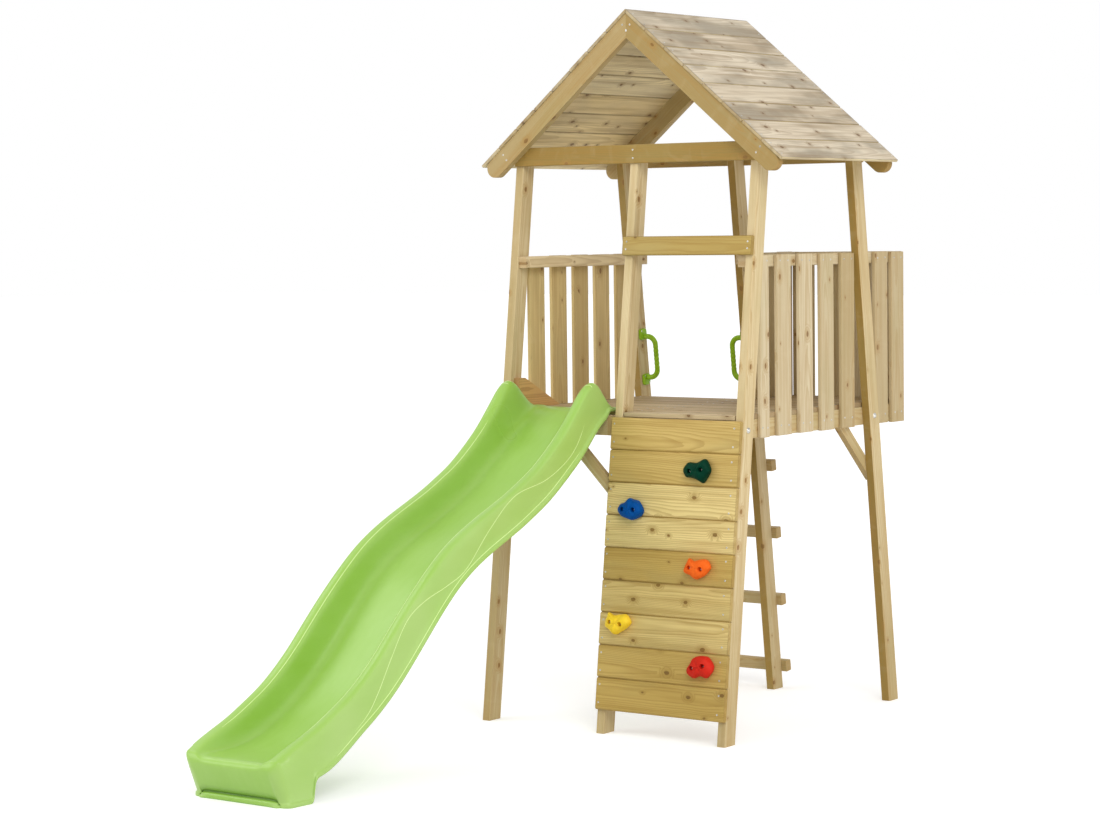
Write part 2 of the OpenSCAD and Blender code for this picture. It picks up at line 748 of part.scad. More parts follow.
// Bolt along X from its domed head at x0 to its nut behind x1
module bolt(x0, x1, y) {
    way = x1 > x0 ? 1 : -1;
    grip = abs(x1 - x0);
    dome = (pow(bolt_head_d / 2, 2) + pow(bolt_head_h, 2)) / (2 * bolt_head_h);
    color(steel) translate([x0, y, joist_mid]) rotate([0, way * 90, 0]) {
        rotate([0, 180, 0]) intersection() {
            translate([0, 0, bolt_head_h - dome]) sphere(dome);
            cylinder(d = bolt_head_d, h = bolt_head_h);
        }
        cylinder(d = bolt_d, h = grip + nut_h);
        translate([0, 0, grip]) cylinder(d = nut_d, h = nut_h, $fn = 6);
    }
}

module post_bolts() {
    for (side = [front, back]) {
        y = side * post_y(joist_mid);
        bolt(-bay - half_t, -frame_in, y);
        bolt(bay + half_t, frame_in, y);
        bolt(-half_t - timber_t, half_t + timber_t, y);
    }
}

// Moves the tower's middle so that the origin lies under the whole frame
module place() {
    translate([0, -middle_y, 0]) children();
}

for (i = [0 : 2]) {
    place() post((i - 1) * bay, front);
    place() post((i - 1) * bay, back);
}
place() joist(-end_face, joist_end);  // joist_left
place() joist(-half_t - timber_t, joist_end);  // joist_middle_left
place() joist(half_t, balcony_y);  // joist_middle_right
place() joist(frame_in, balcony_y);  // joist_right
place() fascia(-frame_in, -half_t - timber_t, -joist_end);  // fascia_slide
place() fascia(half_t + timber_t, frame_in, balcony_y - board_t);  // fascia_balcony
place() side_brace(-end_face, 1);  // brace_front_left
place() side_brace(-half_t, -1);  // brace_front_middle
place() back_brace(-end_face);  // brace_back_left
place() back_brace(-half_t - brace_t);  // brace_back_middle
place() back_brace(end_face - brace_t);  // brace_back_right
place() deck_boards();
place() deck_front_board();
place() balcony_boards();
for (i = [0 : wall_boards - 1])
    place() wall_board(i);
for (i = [0 : len(hold_names) - 1])
    place() hold(i);
for (i = [0 : rungs - 1])
    place() rung(i);
place() handle_at(-end_face, 1);  // handle_left
place() handle_at(-half_t, -1);  // handle_right
place() side_rail(-end_face, -rail_front, post_outer(rail_top));  // rail_left
place() side_rail(frame_in, -rail_front, balcony_y);  // rail_right
place() side_rail(half_t, post_inner(rail_top) - rail_past, balcony_y);  // rail_balcony_side
place() back_rail();  // rail_balcony_back
place() slats_left();
place() slats_right();
place() slats_balcony_side();
place() slats_balcony_back();
place() lintel();
place() tie(front);  // tie_front
place() tie(back);  // tie_back
place() rafter(-1, front);  // rafter_front_left
place() rafter(1, front);  // rafter_front_right
place() rafter(-1, back);  // rafter_back_left
place() rafter(1, back);  // rafter_back_right
place() roof_boards(-1);  // roof_boards_left
place() roof_boards(1);  // roof_boards_right
place() slide();
place() wedge_board();
place() post_bolts();
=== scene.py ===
"""Looks of a wooden climbing frame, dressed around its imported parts.

Lengths are in metres, z is up, the ground is z = 0 and the front with the slide faces -y.
"""

import logging
import math
import random
from dataclasses import dataclass, replace
from enum import Enum
from functools import lru_cache
from typing import Any, Iterator, NamedTuple, Sequence

import bmesh
import bpy
from mathutils import Matrix, Vector, noise
from mathutils.bvhtree import BVHTree


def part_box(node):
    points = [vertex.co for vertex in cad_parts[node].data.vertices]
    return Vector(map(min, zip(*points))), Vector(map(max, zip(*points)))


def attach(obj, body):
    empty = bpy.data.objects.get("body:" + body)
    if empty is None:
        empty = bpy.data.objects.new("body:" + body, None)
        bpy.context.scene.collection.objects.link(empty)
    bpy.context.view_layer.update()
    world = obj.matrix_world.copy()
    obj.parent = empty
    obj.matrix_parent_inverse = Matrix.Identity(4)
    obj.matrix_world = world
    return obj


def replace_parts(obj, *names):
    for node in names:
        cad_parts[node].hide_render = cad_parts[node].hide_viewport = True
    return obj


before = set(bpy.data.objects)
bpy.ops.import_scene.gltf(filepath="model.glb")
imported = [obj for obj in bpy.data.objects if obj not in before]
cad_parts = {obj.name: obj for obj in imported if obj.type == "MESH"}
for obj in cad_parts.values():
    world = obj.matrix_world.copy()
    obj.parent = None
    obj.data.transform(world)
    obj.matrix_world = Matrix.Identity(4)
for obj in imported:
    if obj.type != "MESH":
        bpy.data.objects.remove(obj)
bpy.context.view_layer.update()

Colour = tuple[float, float, float, float]
Triple = tuple[float, float, float]
Pair = tuple[float, float]
Socket = bpy.types.NodeSocket

LOG = logging.getLogger("climbing_frame")
BODY = "root"
LEAN = math.radians(7.1)
BRACE_SLOPE = math.radians(42.5)
ROOF_PITCH = math.radians(39.75)
BACK_INSET = 0.0012
SHARP_EDGE = math.radians(40)
WHITE: Colour = (1.0, 1.0, 1.0, 1.0)
TO_RIGHT: Triple = (1.0, 0.0, 0.0)
TO_LEFT: Triple = (-1.0, 0.0, 0.0)
TO_BACK: Triple = (0.0, 1.0, 0.0)
TO_FRONT: Triple = (0.0, -1.0, 0.0)
UPWARDS: Triple = (0.0, 0.0, 1.0)
WELD = 2e-5
FLAT = math.radians(0.6)
SIDES = ("left", "middle", "right")
JOISTS = ("joist_left", "joist_middle_left", "joist_middle_right", "joist_right")
BALCONY_JOISTS = JOISTS[2:]
RUNGS = tuple(f"rung_{i}" for i in range(1, 5))
WALL_BOARDS = tuple(f"wall_board_{i}" for i in range(1, 10))
WALL_SHADES: dict[tuple[int, ...], Pair] = {
    (6, 7): (0.0, 0.1), (3, 4): (0.25, 0.4), (2, 8, 9): (0.6, 0.9), (1, 5): (0.9, 1.0),
}


def tint(code: str) -> Colour:
    """Turn a written sRGB colour into the linear colour that sockets take.

    Args:
        code: Colour as "#rrggbb".

    Returns:
        Linear red, green, blue and an alpha of one.
    """
    parts = [int(code[i:i + 2], 16) / 255 for i in (1, 3, 5)]
    # The sRGB curve is straight near black and a power above that.
    linear = [c / 12.92 if c <= 0.04045 else ((c + 0.055) / 1.055) ** 2.4 for c in parts]
    return (linear[0], linear[1], linear[2], 1.0)


def around(value: float, reach: Pair) -> Pair:
    """Return the span that reaches below and above a value."""
    return (value + reach[0], value + reach[1])


@dataclass(frozen=True)
class Pattern:
    """Noise pattern: its scale along each axis, its detail and its twist."""

    scale: Triple
    detail: float = 3.0
    twist: float = 0.0


class Wiring:
    """Short words for wiring the nodes of a material or of the sky."""

    def __init__(self, owner: bpy.types.Material | bpy.types.World) -> None:
        """Take over an owner and clear its nodes.

        Args:
            owner: Material or sky that the nodes belong to.
        """
        owner.use_nodes = True
        self.owner = owner
        self.tree = owner.node_tree
        self.tree.nodes.clear()

    @classmethod
    def of_material(cls, name: str) -> "Wiring":
        """Return the wiring of a new material."""
        return cls(bpy.data.materials.new(name))

    def node(
        self, kind: str, inputs: dict[Any, Any] | None = None, **settings: Any
    ) -> bpy.types.Node:
        """Add a node.

        Args:
            kind: Blender's type name of the node.
            inputs: Values or sockets for its inputs, by name or number.
            settings: Properties of the node.

        Returns:
            The new node.
        """
        made = self.tree.nodes.new(kind)
        for key, value in settings.items():
            setattr(made, key, value)
        for key, value in (inputs or {}).items():
            if isinstance(value, Socket):
                self.tree.links.new(value, made.inputs[key])
            else:
                made.inputs[key].default_value = value
        return made

    def math(self, operation: str, a: Any, b: Any = 0.0, c: Any = 0.0) -> Socket:
        """Return the result of a sum on sockets or numbers."""
        return self.node("ShaderNodeMath", {0: a, 1: b, 2: c}, operation=operation).outputs[0]

    def vector(self, operation: str, a: Socket, b: Any = (0.0, 0.0, 0.0)) -> Socket:
        """Return the result of a sum on vectors."""
        return self.node("ShaderNodeVectorMath", {0: a, 1: b}, operation=operation).outputs[0]

    def length(self, vector: Socket) -> Socket:
        """Return a vector's length."""
        return self.node("ShaderNodeVectorMath", {0: vector}, operation="LENGTH").outputs["Value"]

    def axes(self, vector: Socket) -> list[Socket]:
        """Return a vector's three parts."""
        return list(self.node("ShaderNodeSeparateXYZ", {0: vector}).outputs)

    def noise(self, vector: Socket, scale: float, detail: float, twist: float = 0.0) -> Socket:
        """Wire a soft noise.

        Args:
            vector: Place that it is read at.
            scale: Number of its lumps in a metre.
            detail: Number of its finer layers.
            twist: How far it is twisted.

        Returns:
            A value between about 0.2 and 0.8.
        """
        inputs = {"Vector": vector, "Scale": scale, "Detail": detail, "Distortion": twist}
        return self.node("ShaderNodeTexNoise", inputs).outputs["Fac"]

    def pattern(self, vector: Socket, pattern: Pattern) -> Socket:
        """Return the noise of a stretched pattern."""
        spot = self.vector("MULTIPLY", vector, pattern.scale)
        return self.noise(spot, 1.0, pattern.detail, pattern.twist)

    def span(self, value: Any, low: Any, high: Any, to: Pair = (0.0, 1.0)) -> Socket:
        """Move a value smoothly from one span to another.

        Args:
            value: The value.
            low: Start of its span.
            high: End of its span.
            to: Start and end of the new span.

        Returns:
            The moved value.
        """
        inputs = {0: value, 1: low, 2: high, 3: to[0], 4: to[1]}
        return self.node("ShaderNodeMapRange", inputs, interpolation_type="SMOOTHSTEP").outputs[0]

    def mix(self, share: Any, a: Any, b: Any) -> Socket:
        """Return two colours mixed by a share."""
        # Inputs 6 and 7 and output 2 are the node's colour sockets.
        return self.node("ShaderNodeMix", {0: share, 6: a, 7: b}, data_type="RGBA").outputs[2]

    def toned(self, colour: Any, mark: Socket, share: float, code: str) -> Socket:
        """Return a colour mixed with a written one by a share of a mark."""
        return self.mix(self.math("MULTIPLY", mark, share), colour, tint(code))

    def washed(self, colour: Any, value: Socket, span: Pair, share: float, code: str) -> Socket:
        """Return a colour mixed with a written one, up to a share, where a value is high."""
        return self.mix(self.span(value, *span, (0.0, share)), colour, tint(code))

    def attribute(self, name: str, output: str = "Fac") -> Socket:
        """Return what a mesh attribute of that name holds."""
        return self.node("ShaderNodeAttribute", attribute_name=name).outputs[output]

    def seen(self) -> Socket:
        """Wire the rays by which the background is seen.

        Returns:
            One for camera, glossy and transmission rays, zero for others.
        """
        rays = self.node("ShaderNodeLightPath").outputs
        direct = self.math("MAXIMUM", rays["Is Camera Ray"], rays["Is Glossy Ray"])
        return self.math("MAXIMUM", direct, rays["Is Transmission Ray"])

    def surface(
        self, inputs: dict[str, Any], height: Socket, depth: float, strength: float
    ) -> bpy.types.Material:
        """Close the material with its shader.

        Args:
            inputs: The shader's inputs by name.
            height: Height of the fine relief.
            depth: Size of that relief.
            strength: Share of the relief that shows.

        Returns:
            The finished material.
        """
        relief = {"Height": height, "Distance": depth, "Strength": strength}
        bump = self.node("ShaderNodeBump", relief)
        shader = self.node("ShaderNodeBsdfPrincipled", {**inputs, "Normal": bump.outputs[0]})
        self.node("ShaderNodeOutputMaterial", {0: shader.outputs[0]})
        return self.owner


WANDER = Pattern((1.5, 5.0, 5.0))
FIBRE = Pattern((7.0, 150.0, 150.0))
STREAK = Pattern((2.2, 46.0, 46.0))
FIGURE = Pattern((16.0, 9.0, 9.0), detail=2.0, twist=1.2)
PATCH = Pattern((2.6, 7.0, 7.0))
RAGGED = Pattern((90.0, 160.0, 160.0), detail=2.0)
SCUFF = Pattern((40.0, 5.0, 24.0))
BRUSHED = Pattern((900.0, 900.0, 120.0), detail=2.0)


@dataclass(frozen=True)
class WoodFinish:
    """Sawn softwood with growth rings, knots, streaks, worn or soiled edges and painted shade."""

    slot: str
    pale: str
    deep: str
    late: str
    stain: str
    rim: str
    knot: str = "#553619"
    worn: str = "#e2d3ae"
    # Growth rings
    ring: float = 0.0046
    ring_span: Pair = (0.3, 0.96)
    ring_taper: float = 0.012
    ring_wander: float = 0.03
    ring_round_knot: float = 0.011
    ring_fray: float = 0.35
    contrast: float = 0.34
    # Knots
    knots: float = 0.42
    knot_cell: Pair = (0.13, 0.085)
    knot_least: float = 0.022
    knot_grow: float = 0.06
    knot_ragged: float = 0.05
    halo_reach: float = 4.2
    halo_share: float = 0.45
    core_reach: float = 1.15
    core_share: float = 0.9
    # End grain, blotches, figure and streaks
    end_share: float = 0.35
    blotch: float = 0.3
    blotch_span: Pair = (0.46, 0.72)
    figure: float = 0.06
    figure_span: Pair = (0.52, 0.72)
    streaks: float = 0.3
    streak_span: Pair = (0.38, 0.72)
    # Faces rounded off in the relief
    barrel: float = 0.0
    barrel_power: float = 4.0
    # Weathered tops, and painted shade low down and on a heartwood face
    weather: str = "#a99d8a"
    weathered: float = 0.0
    weather_span: Pair = (0.4, 0.65)
    weather_up: Pair = (0.1, 0.5)
    low_shade: float = 0.0
    low_shade_span: Pair = (1.0, 0.1)
    heart_and_shade: float = 0.0
    heart_and_shade_span: Pair = (0.25, 0.5)
    heart_and_shade_to: Pair = (0.8, 1.0)
    # Rims darkened by soil and by painted shade where boards meet
    rim_wide: float = 0.004
    rim_share: float = 0.5
    rim_end_less: float = 0.7
    rim_edge_less: float = 0.8
    soil_and_shade_span: Pair = (0.25, 0.6)
    soil_and_shade_to: Pair = (0.4, 1.0)
    # Gloss and relief
    rough: float = 0.62
    rough_span: Pair = (0.3, 0.7)
    rough_reach: Pair = (-0.08, 0.1)
    gloss: float = 0.32
    late_high: float = 0.6
    fibre_high: float = 0.8
    core_high: float = 0.7
    relief: float = 0.0007
    relief_share: float = 0.5

    def material(self) -> bpy.types.Material:
        """Wire the finish; it reads each board's own grain, place, size, tone and end.

        Returns:
            The new material.
        """
        w = Wiring.of_material(self.slot)
        grain = w.attribute("grain", "Vector")
        wander, fibre, streak, figure, patch = (
            w.pattern(grain, p) for p in (WANDER, FIBRE, STREAK, FIGURE, PATCH)
        )
        halo, core = self.wire_knots(w, grain)
        late = self.wire_rings(w, grain, wander, fibre, halo)

        colour = self.wire_tone(w, patch)
        colour = w.toned(colour, late, self.contrast, self.late)
        colour = w.washed(colour, streak, self.streak_span, self.streaks, self.late)
        colour = w.washed(colour, figure, self.figure_span, self.figure, self.worn)
        colour = w.washed(colour, patch, self.blotch_span, self.blotch, self.stain)
        colour = w.toned(colour, halo, self.halo_share, self.late)
        dark = w.mix(fibre, tint(self.knot), tint(self.late))
        colour = w.mix(w.math("MULTIPLY", core, self.core_share), colour, dark)
        colour = w.toned(colour, w.attribute("end"), self.end_share, self.late)
        # Soil and painted shade darken the wide faces near their edges, where boards meet
        soil_and_shade = w.math("MULTIPLY", self.wire_rim(w), w.span(wander, *self.soil_and_shade_span, self.soil_and_shade_to))
        colour = w.toned(colour, soil_and_shade, self.rim_share, self.rim)
        reach = around(self.rough, self.rough_reach)
        rough = w.span(streak, *self.rough_span, reach)
        height = w.math("MULTIPLY", fibre, self.fibre_high)
        height = w.math("MULTIPLY_ADD", late, self.late_high, height)
        height = w.math("MULTIPLY_ADD", core, self.core_high, height)
        if self.barrel:
            height = w.math("MULTIPLY_ADD", self.wire_barrel(w), self.barrel, height)
        inputs = {"Base Color": colour, "Roughness": rough, "Specular IOR Level": self.gloss}
        return w.surface(inputs, height, self.relief, self.relief_share)

    def wire_tone(self, w: Wiring, patch: Socket) -> Socket:
        """Wire the board's plain tone, before rings and marks.

        Args:
            w: Wiring of the material.
            patch: Slow noise that sets patches apart.

        Returns:
            The colour, weathered on top, with painted shade low down and on its heartwood face.
        """
        colour = w.mix(w.attribute("tone"), tint(self.pale), tint(self.deep))
        if self.weathered:
            up = w.axes(w.node("ShaderNodeNewGeometry").outputs["Normal"])[2]
            old = w.mix(w.span(patch, *self.weather_span), tint(self.weather), tint(self.stain))
            colour = w.mix(w.span(up, *self.weather_up, (0.0, self.weathered)), colour, old)
        # Painted shade: the colour grows darker towards the ground
        if self.low_shade:
            place = w.axes(w.node("ShaderNodeNewGeometry").outputs["Position"])[2]
            colour = w.washed(colour, place, self.low_shade_span, self.low_shade, self.deep)
        # Painted shade on the marked face, in patches, partly the heartwood's own brown
        if self.heart_and_shade:
            shaded_brown = w.span(patch, *self.heart_and_shade_span, self.heart_and_shade_to)
            shaded_brown = w.math("MULTIPLY", w.attribute("heart_and_shade"), shaded_brown)
            colour = w.toned(colour, shaded_brown, self.heart_and_shade, self.deep)
        return colour

    def wire_knots(self, w: Wiring, grain: Socket) -> tuple[Socket, Socket]:
        """Wire scattered knots.

        Args:
            w: Wiring of the material.
            grain: Place in the log.

        Returns:
            The soft ring round the knots and their dark hearts.
        """
        along, across, deep = w.axes(grain)
        turn = w.math("MULTIPLY", w.attribute("edge"), w.math("SUBTRACT", deep, across))
        flat = w.node("ShaderNodeCombineXYZ", {
            0: w.math("DIVIDE", along, self.knot_cell[0]),
            1: w.math("DIVIDE", w.math("ADD", across, turn), self.knot_cell[1]),
        })
        place = {"Vector": flat.outputs[0], "Scale": 1.0}
        cells = w.node("ShaderNodeTexVoronoi", place, voronoi_dimensions="2D").outputs
        chance = w.node("ShaderNodeSeparateColor", {0: cells["Color"]}).outputs
        held = w.math("LESS_THAN", chance[1], self.knots)
        size = w.math("MULTIPLY_ADD", chance[0], self.knot_grow, self.knot_least)
        inner = w.math("SUBTRACT", cells["Distance"], self.knot_ragged / 2)
        reach = w.math("MULTIPLY_ADD", w.pattern(grain, RAGGED), self.knot_ragged, inner)
        halo = w.span(reach, w.math("MULTIPLY", size, self.halo_reach), size)
        core = w.span(reach, w.math("MULTIPLY", size, self.core_reach), size)
        return w.math("MULTIPLY", halo, held), w.math("MULTIPLY", core, held)

    def wire_rings(
        self, w: Wiring, grain: Socket, wander: Socket, fibre: Socket, halo: Socket
    ) -> Socket:
        """Wire the growth rings.

        Args:
            w: Wiring of the material.
            grain: Place in the log, whose pith is its x axis.
            wander: Slow noise that bends the rings.
            fibre: Fine noise that frays them.
            halo: Ring round the knots, which the fibres bend about.

        Returns:
            Share of late wood, from 0 to 1.
        """
        along = w.axes(grain)[0]
        radius = w.length(w.vector("MULTIPLY", grain, (0.0, 1.0, 1.0)))
        radius = w.math("MULTIPLY_ADD", along, self.ring_taper, radius)
        radius = w.math("MULTIPLY_ADD", wander, self.ring_wander, radius)
        radius = w.math("MULTIPLY_ADD", halo, self.ring_round_knot, radius)
        phase = w.math("DIVIDE", radius, self.ring)
        phase = w.math("MULTIPLY_ADD", fibre, self.ring_fray, phase)
        return w.span(w.math("FRACT", phase), *self.ring_span)

    def wire_rim(self, w: Wiring) -> Socket:
        """Wire the rim of a board's wide faces, darkened by soil and painted shade.

        Args:
            w: Wiring of the material.

        Returns:
            How close a spot is to the long edges or the ends of its board.
        """
        spot = w.vector("ABSOLUTE", w.attribute("spot", "Vector"))
        near = w.axes(w.vector("SUBTRACT", w.attribute("half", "Vector"), spot))
        least = w.math("MINIMUM", near[0], near[1])
        face = w.math("MULTIPLY_ADD", w.attribute("end"), -self.rim_end_less, 1.0)
        face = w.math("MULTIPLY_ADD", w.attribute("edge"), -self.rim_edge_less, face)
        return w.math("MULTIPLY", w.span(least, self.rim_wide, 0.0), face)

    def wire_barrel(self, w: Wiring) -> Socket:
        """Wire a face that is rounded off towards its long edges.

        Args:
            w: Wiring of the material.

        Returns:
            The face's height, zero in its middle.
        """
        across, half = (w.axes(w.attribute(name, "Vector"))[1] for name in ("spot", "half"))
        share = w.math("ABSOLUTE", w.math("DIVIDE", across, half))
        return w.math("MULTIPLY", w.math("POWER", share, self.barrel_power), -1.0)


@dataclass(frozen=True)
class PlasticFinish:
    """Moulded plastic with a slightly mottled colour and a fine skin."""

    slot: str
    colour: str
    pale: str
    rough: float = 0.36
    rough_reach: Pair = (-0.03, 0.06)
    mottle: float = 0.35
    mottle_scale: float = 4.0
    mottle_detail: float = 1.0
    cloud_span: Pair = (0.2, 0.8)
    scuffs: float = 0.3
    scuff_span: Pair = (0.2, 0.9)
    skin_scale: float = 520.0
    skin_detail: float = 2.0
    skin_depth: float = 0.0003
    skin_share: float = 0.25
    gloss: float = 0.5
    haze: str = "#ffffff"
    haze_share: float = 0.0
    haze_to: Pair = (0.6, 1.0)
    # Painted shade in the groove over the toe's lip
    groove: str = "#4b7519"
    groove_shade_share: float = 0.8

    def material(self) -> bpy.types.Material:
        """Wire the finish; a mesh may mark where it is hazy, and its groove, where shade is
        painted.

        Returns:
            The new material.
        """
        w = Wiring.of_material(self.slot)
        place = w.node("ShaderNodeTexCoord").outputs["Object"]
        cloud = w.noise(place, self.mottle_scale, self.mottle_detail)
        skin = w.noise(place, self.skin_scale, self.skin_detail)
        colour = w.washed(tint(self.colour), cloud, self.cloud_span, self.mottle, self.pale)
        scuff = w.pattern(place, SCUFF)
        colour = w.washed(colour, scuff, self.scuff_span, self.scuffs, self.pale)
        hazy = w.span(cloud, *self.cloud_span, self.haze_to)
        hazy = w.math("MULTIPLY", w.attribute("haze"), hazy)
        colour = w.toned(colour, hazy, self.haze_share, self.haze)
        # Painted shade in the marked groove
        colour = w.toned(colour, w.attribute("groove"), self.groove_shade_share, self.groove)
        reach = around(self.rough, self.rough_reach)
        rough = w.span(cloud, *self.cloud_span, reach)
        inputs = {"Base Color": colour, "Roughness": rough, "Specular IOR Level": self.gloss}
        return w.surface(inputs, skin, self.skin_depth, self.skin_share)


@dataclass(frozen=True)
class SteelFinish:
    """Bright zinc-plated steel with faint cloudy tarnish."""

    slot: str = "bolt_steel"
    bright: str = "#cfcec8"
    dull: str = "#8d8a82"
    cloud_scale: float = 180.0
    cloud_detail: float = 3.0
    cloud_span: Pair = (0.4, 0.75)
    rough: float = 0.34
    rough_span: Pair = (0.3, 0.7)
    rough_reach: Pair = (-0.08, 0.12)
    relief: float = 0.0001
    relief_share: float = 0.2

    def material(self) -> bpy.types.Material:
        """Wire the finish from the object's own coordinates.

        Returns:
            The new material.
        """
        w = Wiring.of_material(self.slot)
        place = w.node("ShaderNodeTexCoord").outputs["Object"]
        cloud = w.noise(place, self.cloud_scale, self.cloud_detail)
        brushed = w.pattern(place, BRUSHED)
        colour = w.washed(tint(self.bright), cloud, self.cloud_span, 1.0, self.dull)
        reach = around(self.rough, self.rough_reach)
        rough = w.span(brushed, *self.rough_span, reach)
        inputs = {"Base Color": colour, "Roughness": rough, "Metallic": 1.0}
        return w.surface(inputs, brushed, self.relief, self.relief_share)


Finish = WoodFinish | PlasticFinish | SteelFinish


@lru_cache(maxsize=None)
def material_of(finish: Finish) -> bpy.types.Material:
    """Return a finish's material, wired once."""
    return finish.material()


def new_object(name: str, data: bpy.types.ID) -> bpy.types.Object:
    """Put a new object into the scene.

    Args:
        name: Name of the object.
        data: Its mesh, lamp or camera.

    Returns:
        The new object.
    """
    made = bpy.data.objects.new(name, data)
    bpy.context.scene.collection.objects.link(made)
    return made


def mesh_of(name: str, bm: bmesh.types.BMesh) -> bpy.types.Mesh:
    """Turn a mesh under work into a finished one.

    Args:
        name: Name of the mesh.
        bm: The mesh under work, which is used up.

    Returns:
        The finished mesh.
    """
    mesh = bpy.data.meshes.new(name)
    bm.to_mesh(mesh)
    bm.free()
    return mesh


def add_piece(name: str, bm: bmesh.types.BMesh, finish: Finish) -> bpy.types.Object:
    """Turn a finished mesh into a piece that rides on the frame.

    Args:
        name: Name of the piece.
        bm: Its mesh, which is used up.
        finish: Its finish.

    Returns:
        The new object.
    """
    mesh = mesh_of(name, bm)
    piece = new_object(name, mesh)
    mesh.materials.append(material_of(finish))
    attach(piece, BODY)
    LOG.info("%s: %d faces", name, len(mesh.polygons))
    return piece


def add_rounding(piece: bpy.types.Object, levels: int) -> None:
    """Round a piece off by subdividing it."""
    rounding = piece.modifiers.new("rounding", "SUBSURF")
    rounding.levels = rounding.render_levels = levels


def settle(piece: bpy.types.Object) -> None:
    """Replace a piece's mesh by the one its modifiers make, and drop the modifiers.

    Args:
        piece: The piece.
    """
    graph = bpy.context.evaluated_depsgraph_get()
    shaped = bpy.data.meshes.new_from_object(piece.evaluated_get(graph))
    piece.modifiers.clear()
    piece.data = shaped


def welded(node: str) -> bmesh.types.BMesh:
    """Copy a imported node's mesh, with its corners welded and its flat triangles joined.

    Args:
        node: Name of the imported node.

    Returns:
        A new mesh in the part's frame.
    """
    bm = bmesh.new()
    bm.from_mesh(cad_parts[node].data)
    bmesh.ops.remove_doubles(bm, verts=bm.verts, dist=WELD)
    bmesh.ops.dissolve_limit(bm, angle_limit=FLAT, verts=bm.verts, edges=bm.edges)
    return bm


def islands(bm: bmesh.types.BMesh) -> list[list[bmesh.types.BMVert]]:
    """Part a mesh into its separate solids.

    Args:
        bm: The mesh.

    Returns:
        The vertices of each solid, in a steady order.
    """
    seen: set[bmesh.types.BMVert] = set()
    groups = []
    for start in bm.verts:
        if start in seen:
            continue
        seen.add(start)
        group, queue = [], [start]
        while queue:
            vert = queue.pop()
            group.append(vert)
            for edge in vert.link_edges:
                other = edge.other_vert(vert)
                if other not in seen:
                    seen.add(other)
                    queue.append(other)
        groups.append(group)
    return groups


def boards(node: str) -> list[list[Vector]]:
    """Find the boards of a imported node.

    Args:
        node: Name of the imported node.

    Returns:
        The corners of each separate solid.
    """
    bm = welded(node)
    made = [[v.co.copy() for v in group] for group in islands(bm)]
    bm.free()
    return made


def middle_of(node: str, axis: int) -> float:
    """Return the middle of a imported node's box along an axis."""
    low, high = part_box(node)
    return (low[axis] + high[axis]) / 2


class Grain(Enum):
    """Direction in which a piece's fibres run."""

    ACROSS = TO_RIGHT
    DEEP = TO_BACK
    UP = UPWARDS
    FRONT_POST = (0.0, math.sin(LEAN), math.cos(LEAN))
    BACK_POST = (0.0, -math.sin(LEAN), math.cos(LEAN))
    RISE_RIGHT = (
        math.cos(BRACE_SLOPE), math.sin(BRACE_SLOPE) * math.sin(LEAN),
        math.sin(BRACE_SLOPE) * math.cos(LEAN),
    )
    RISE_LEFT = (
        -math.cos(BRACE_SLOPE), math.sin(BRACE_SLOPE) * math.sin(LEAN),
        math.sin(BRACE_SLOPE) * math.cos(LEAN),
    )
    FALL_BACK = (0.0, math.cos(BRACE_SLOPE), -math.sin(BRACE_SLOPE))
    RAFTER_RIGHT = (math.cos(ROOF_PITCH), 0.0, -math.sin(ROOF_PITCH))
    RAFTER_LEFT = (-math.cos(ROOF_PITCH), 0.0, -math.sin(ROOF_PITCH))


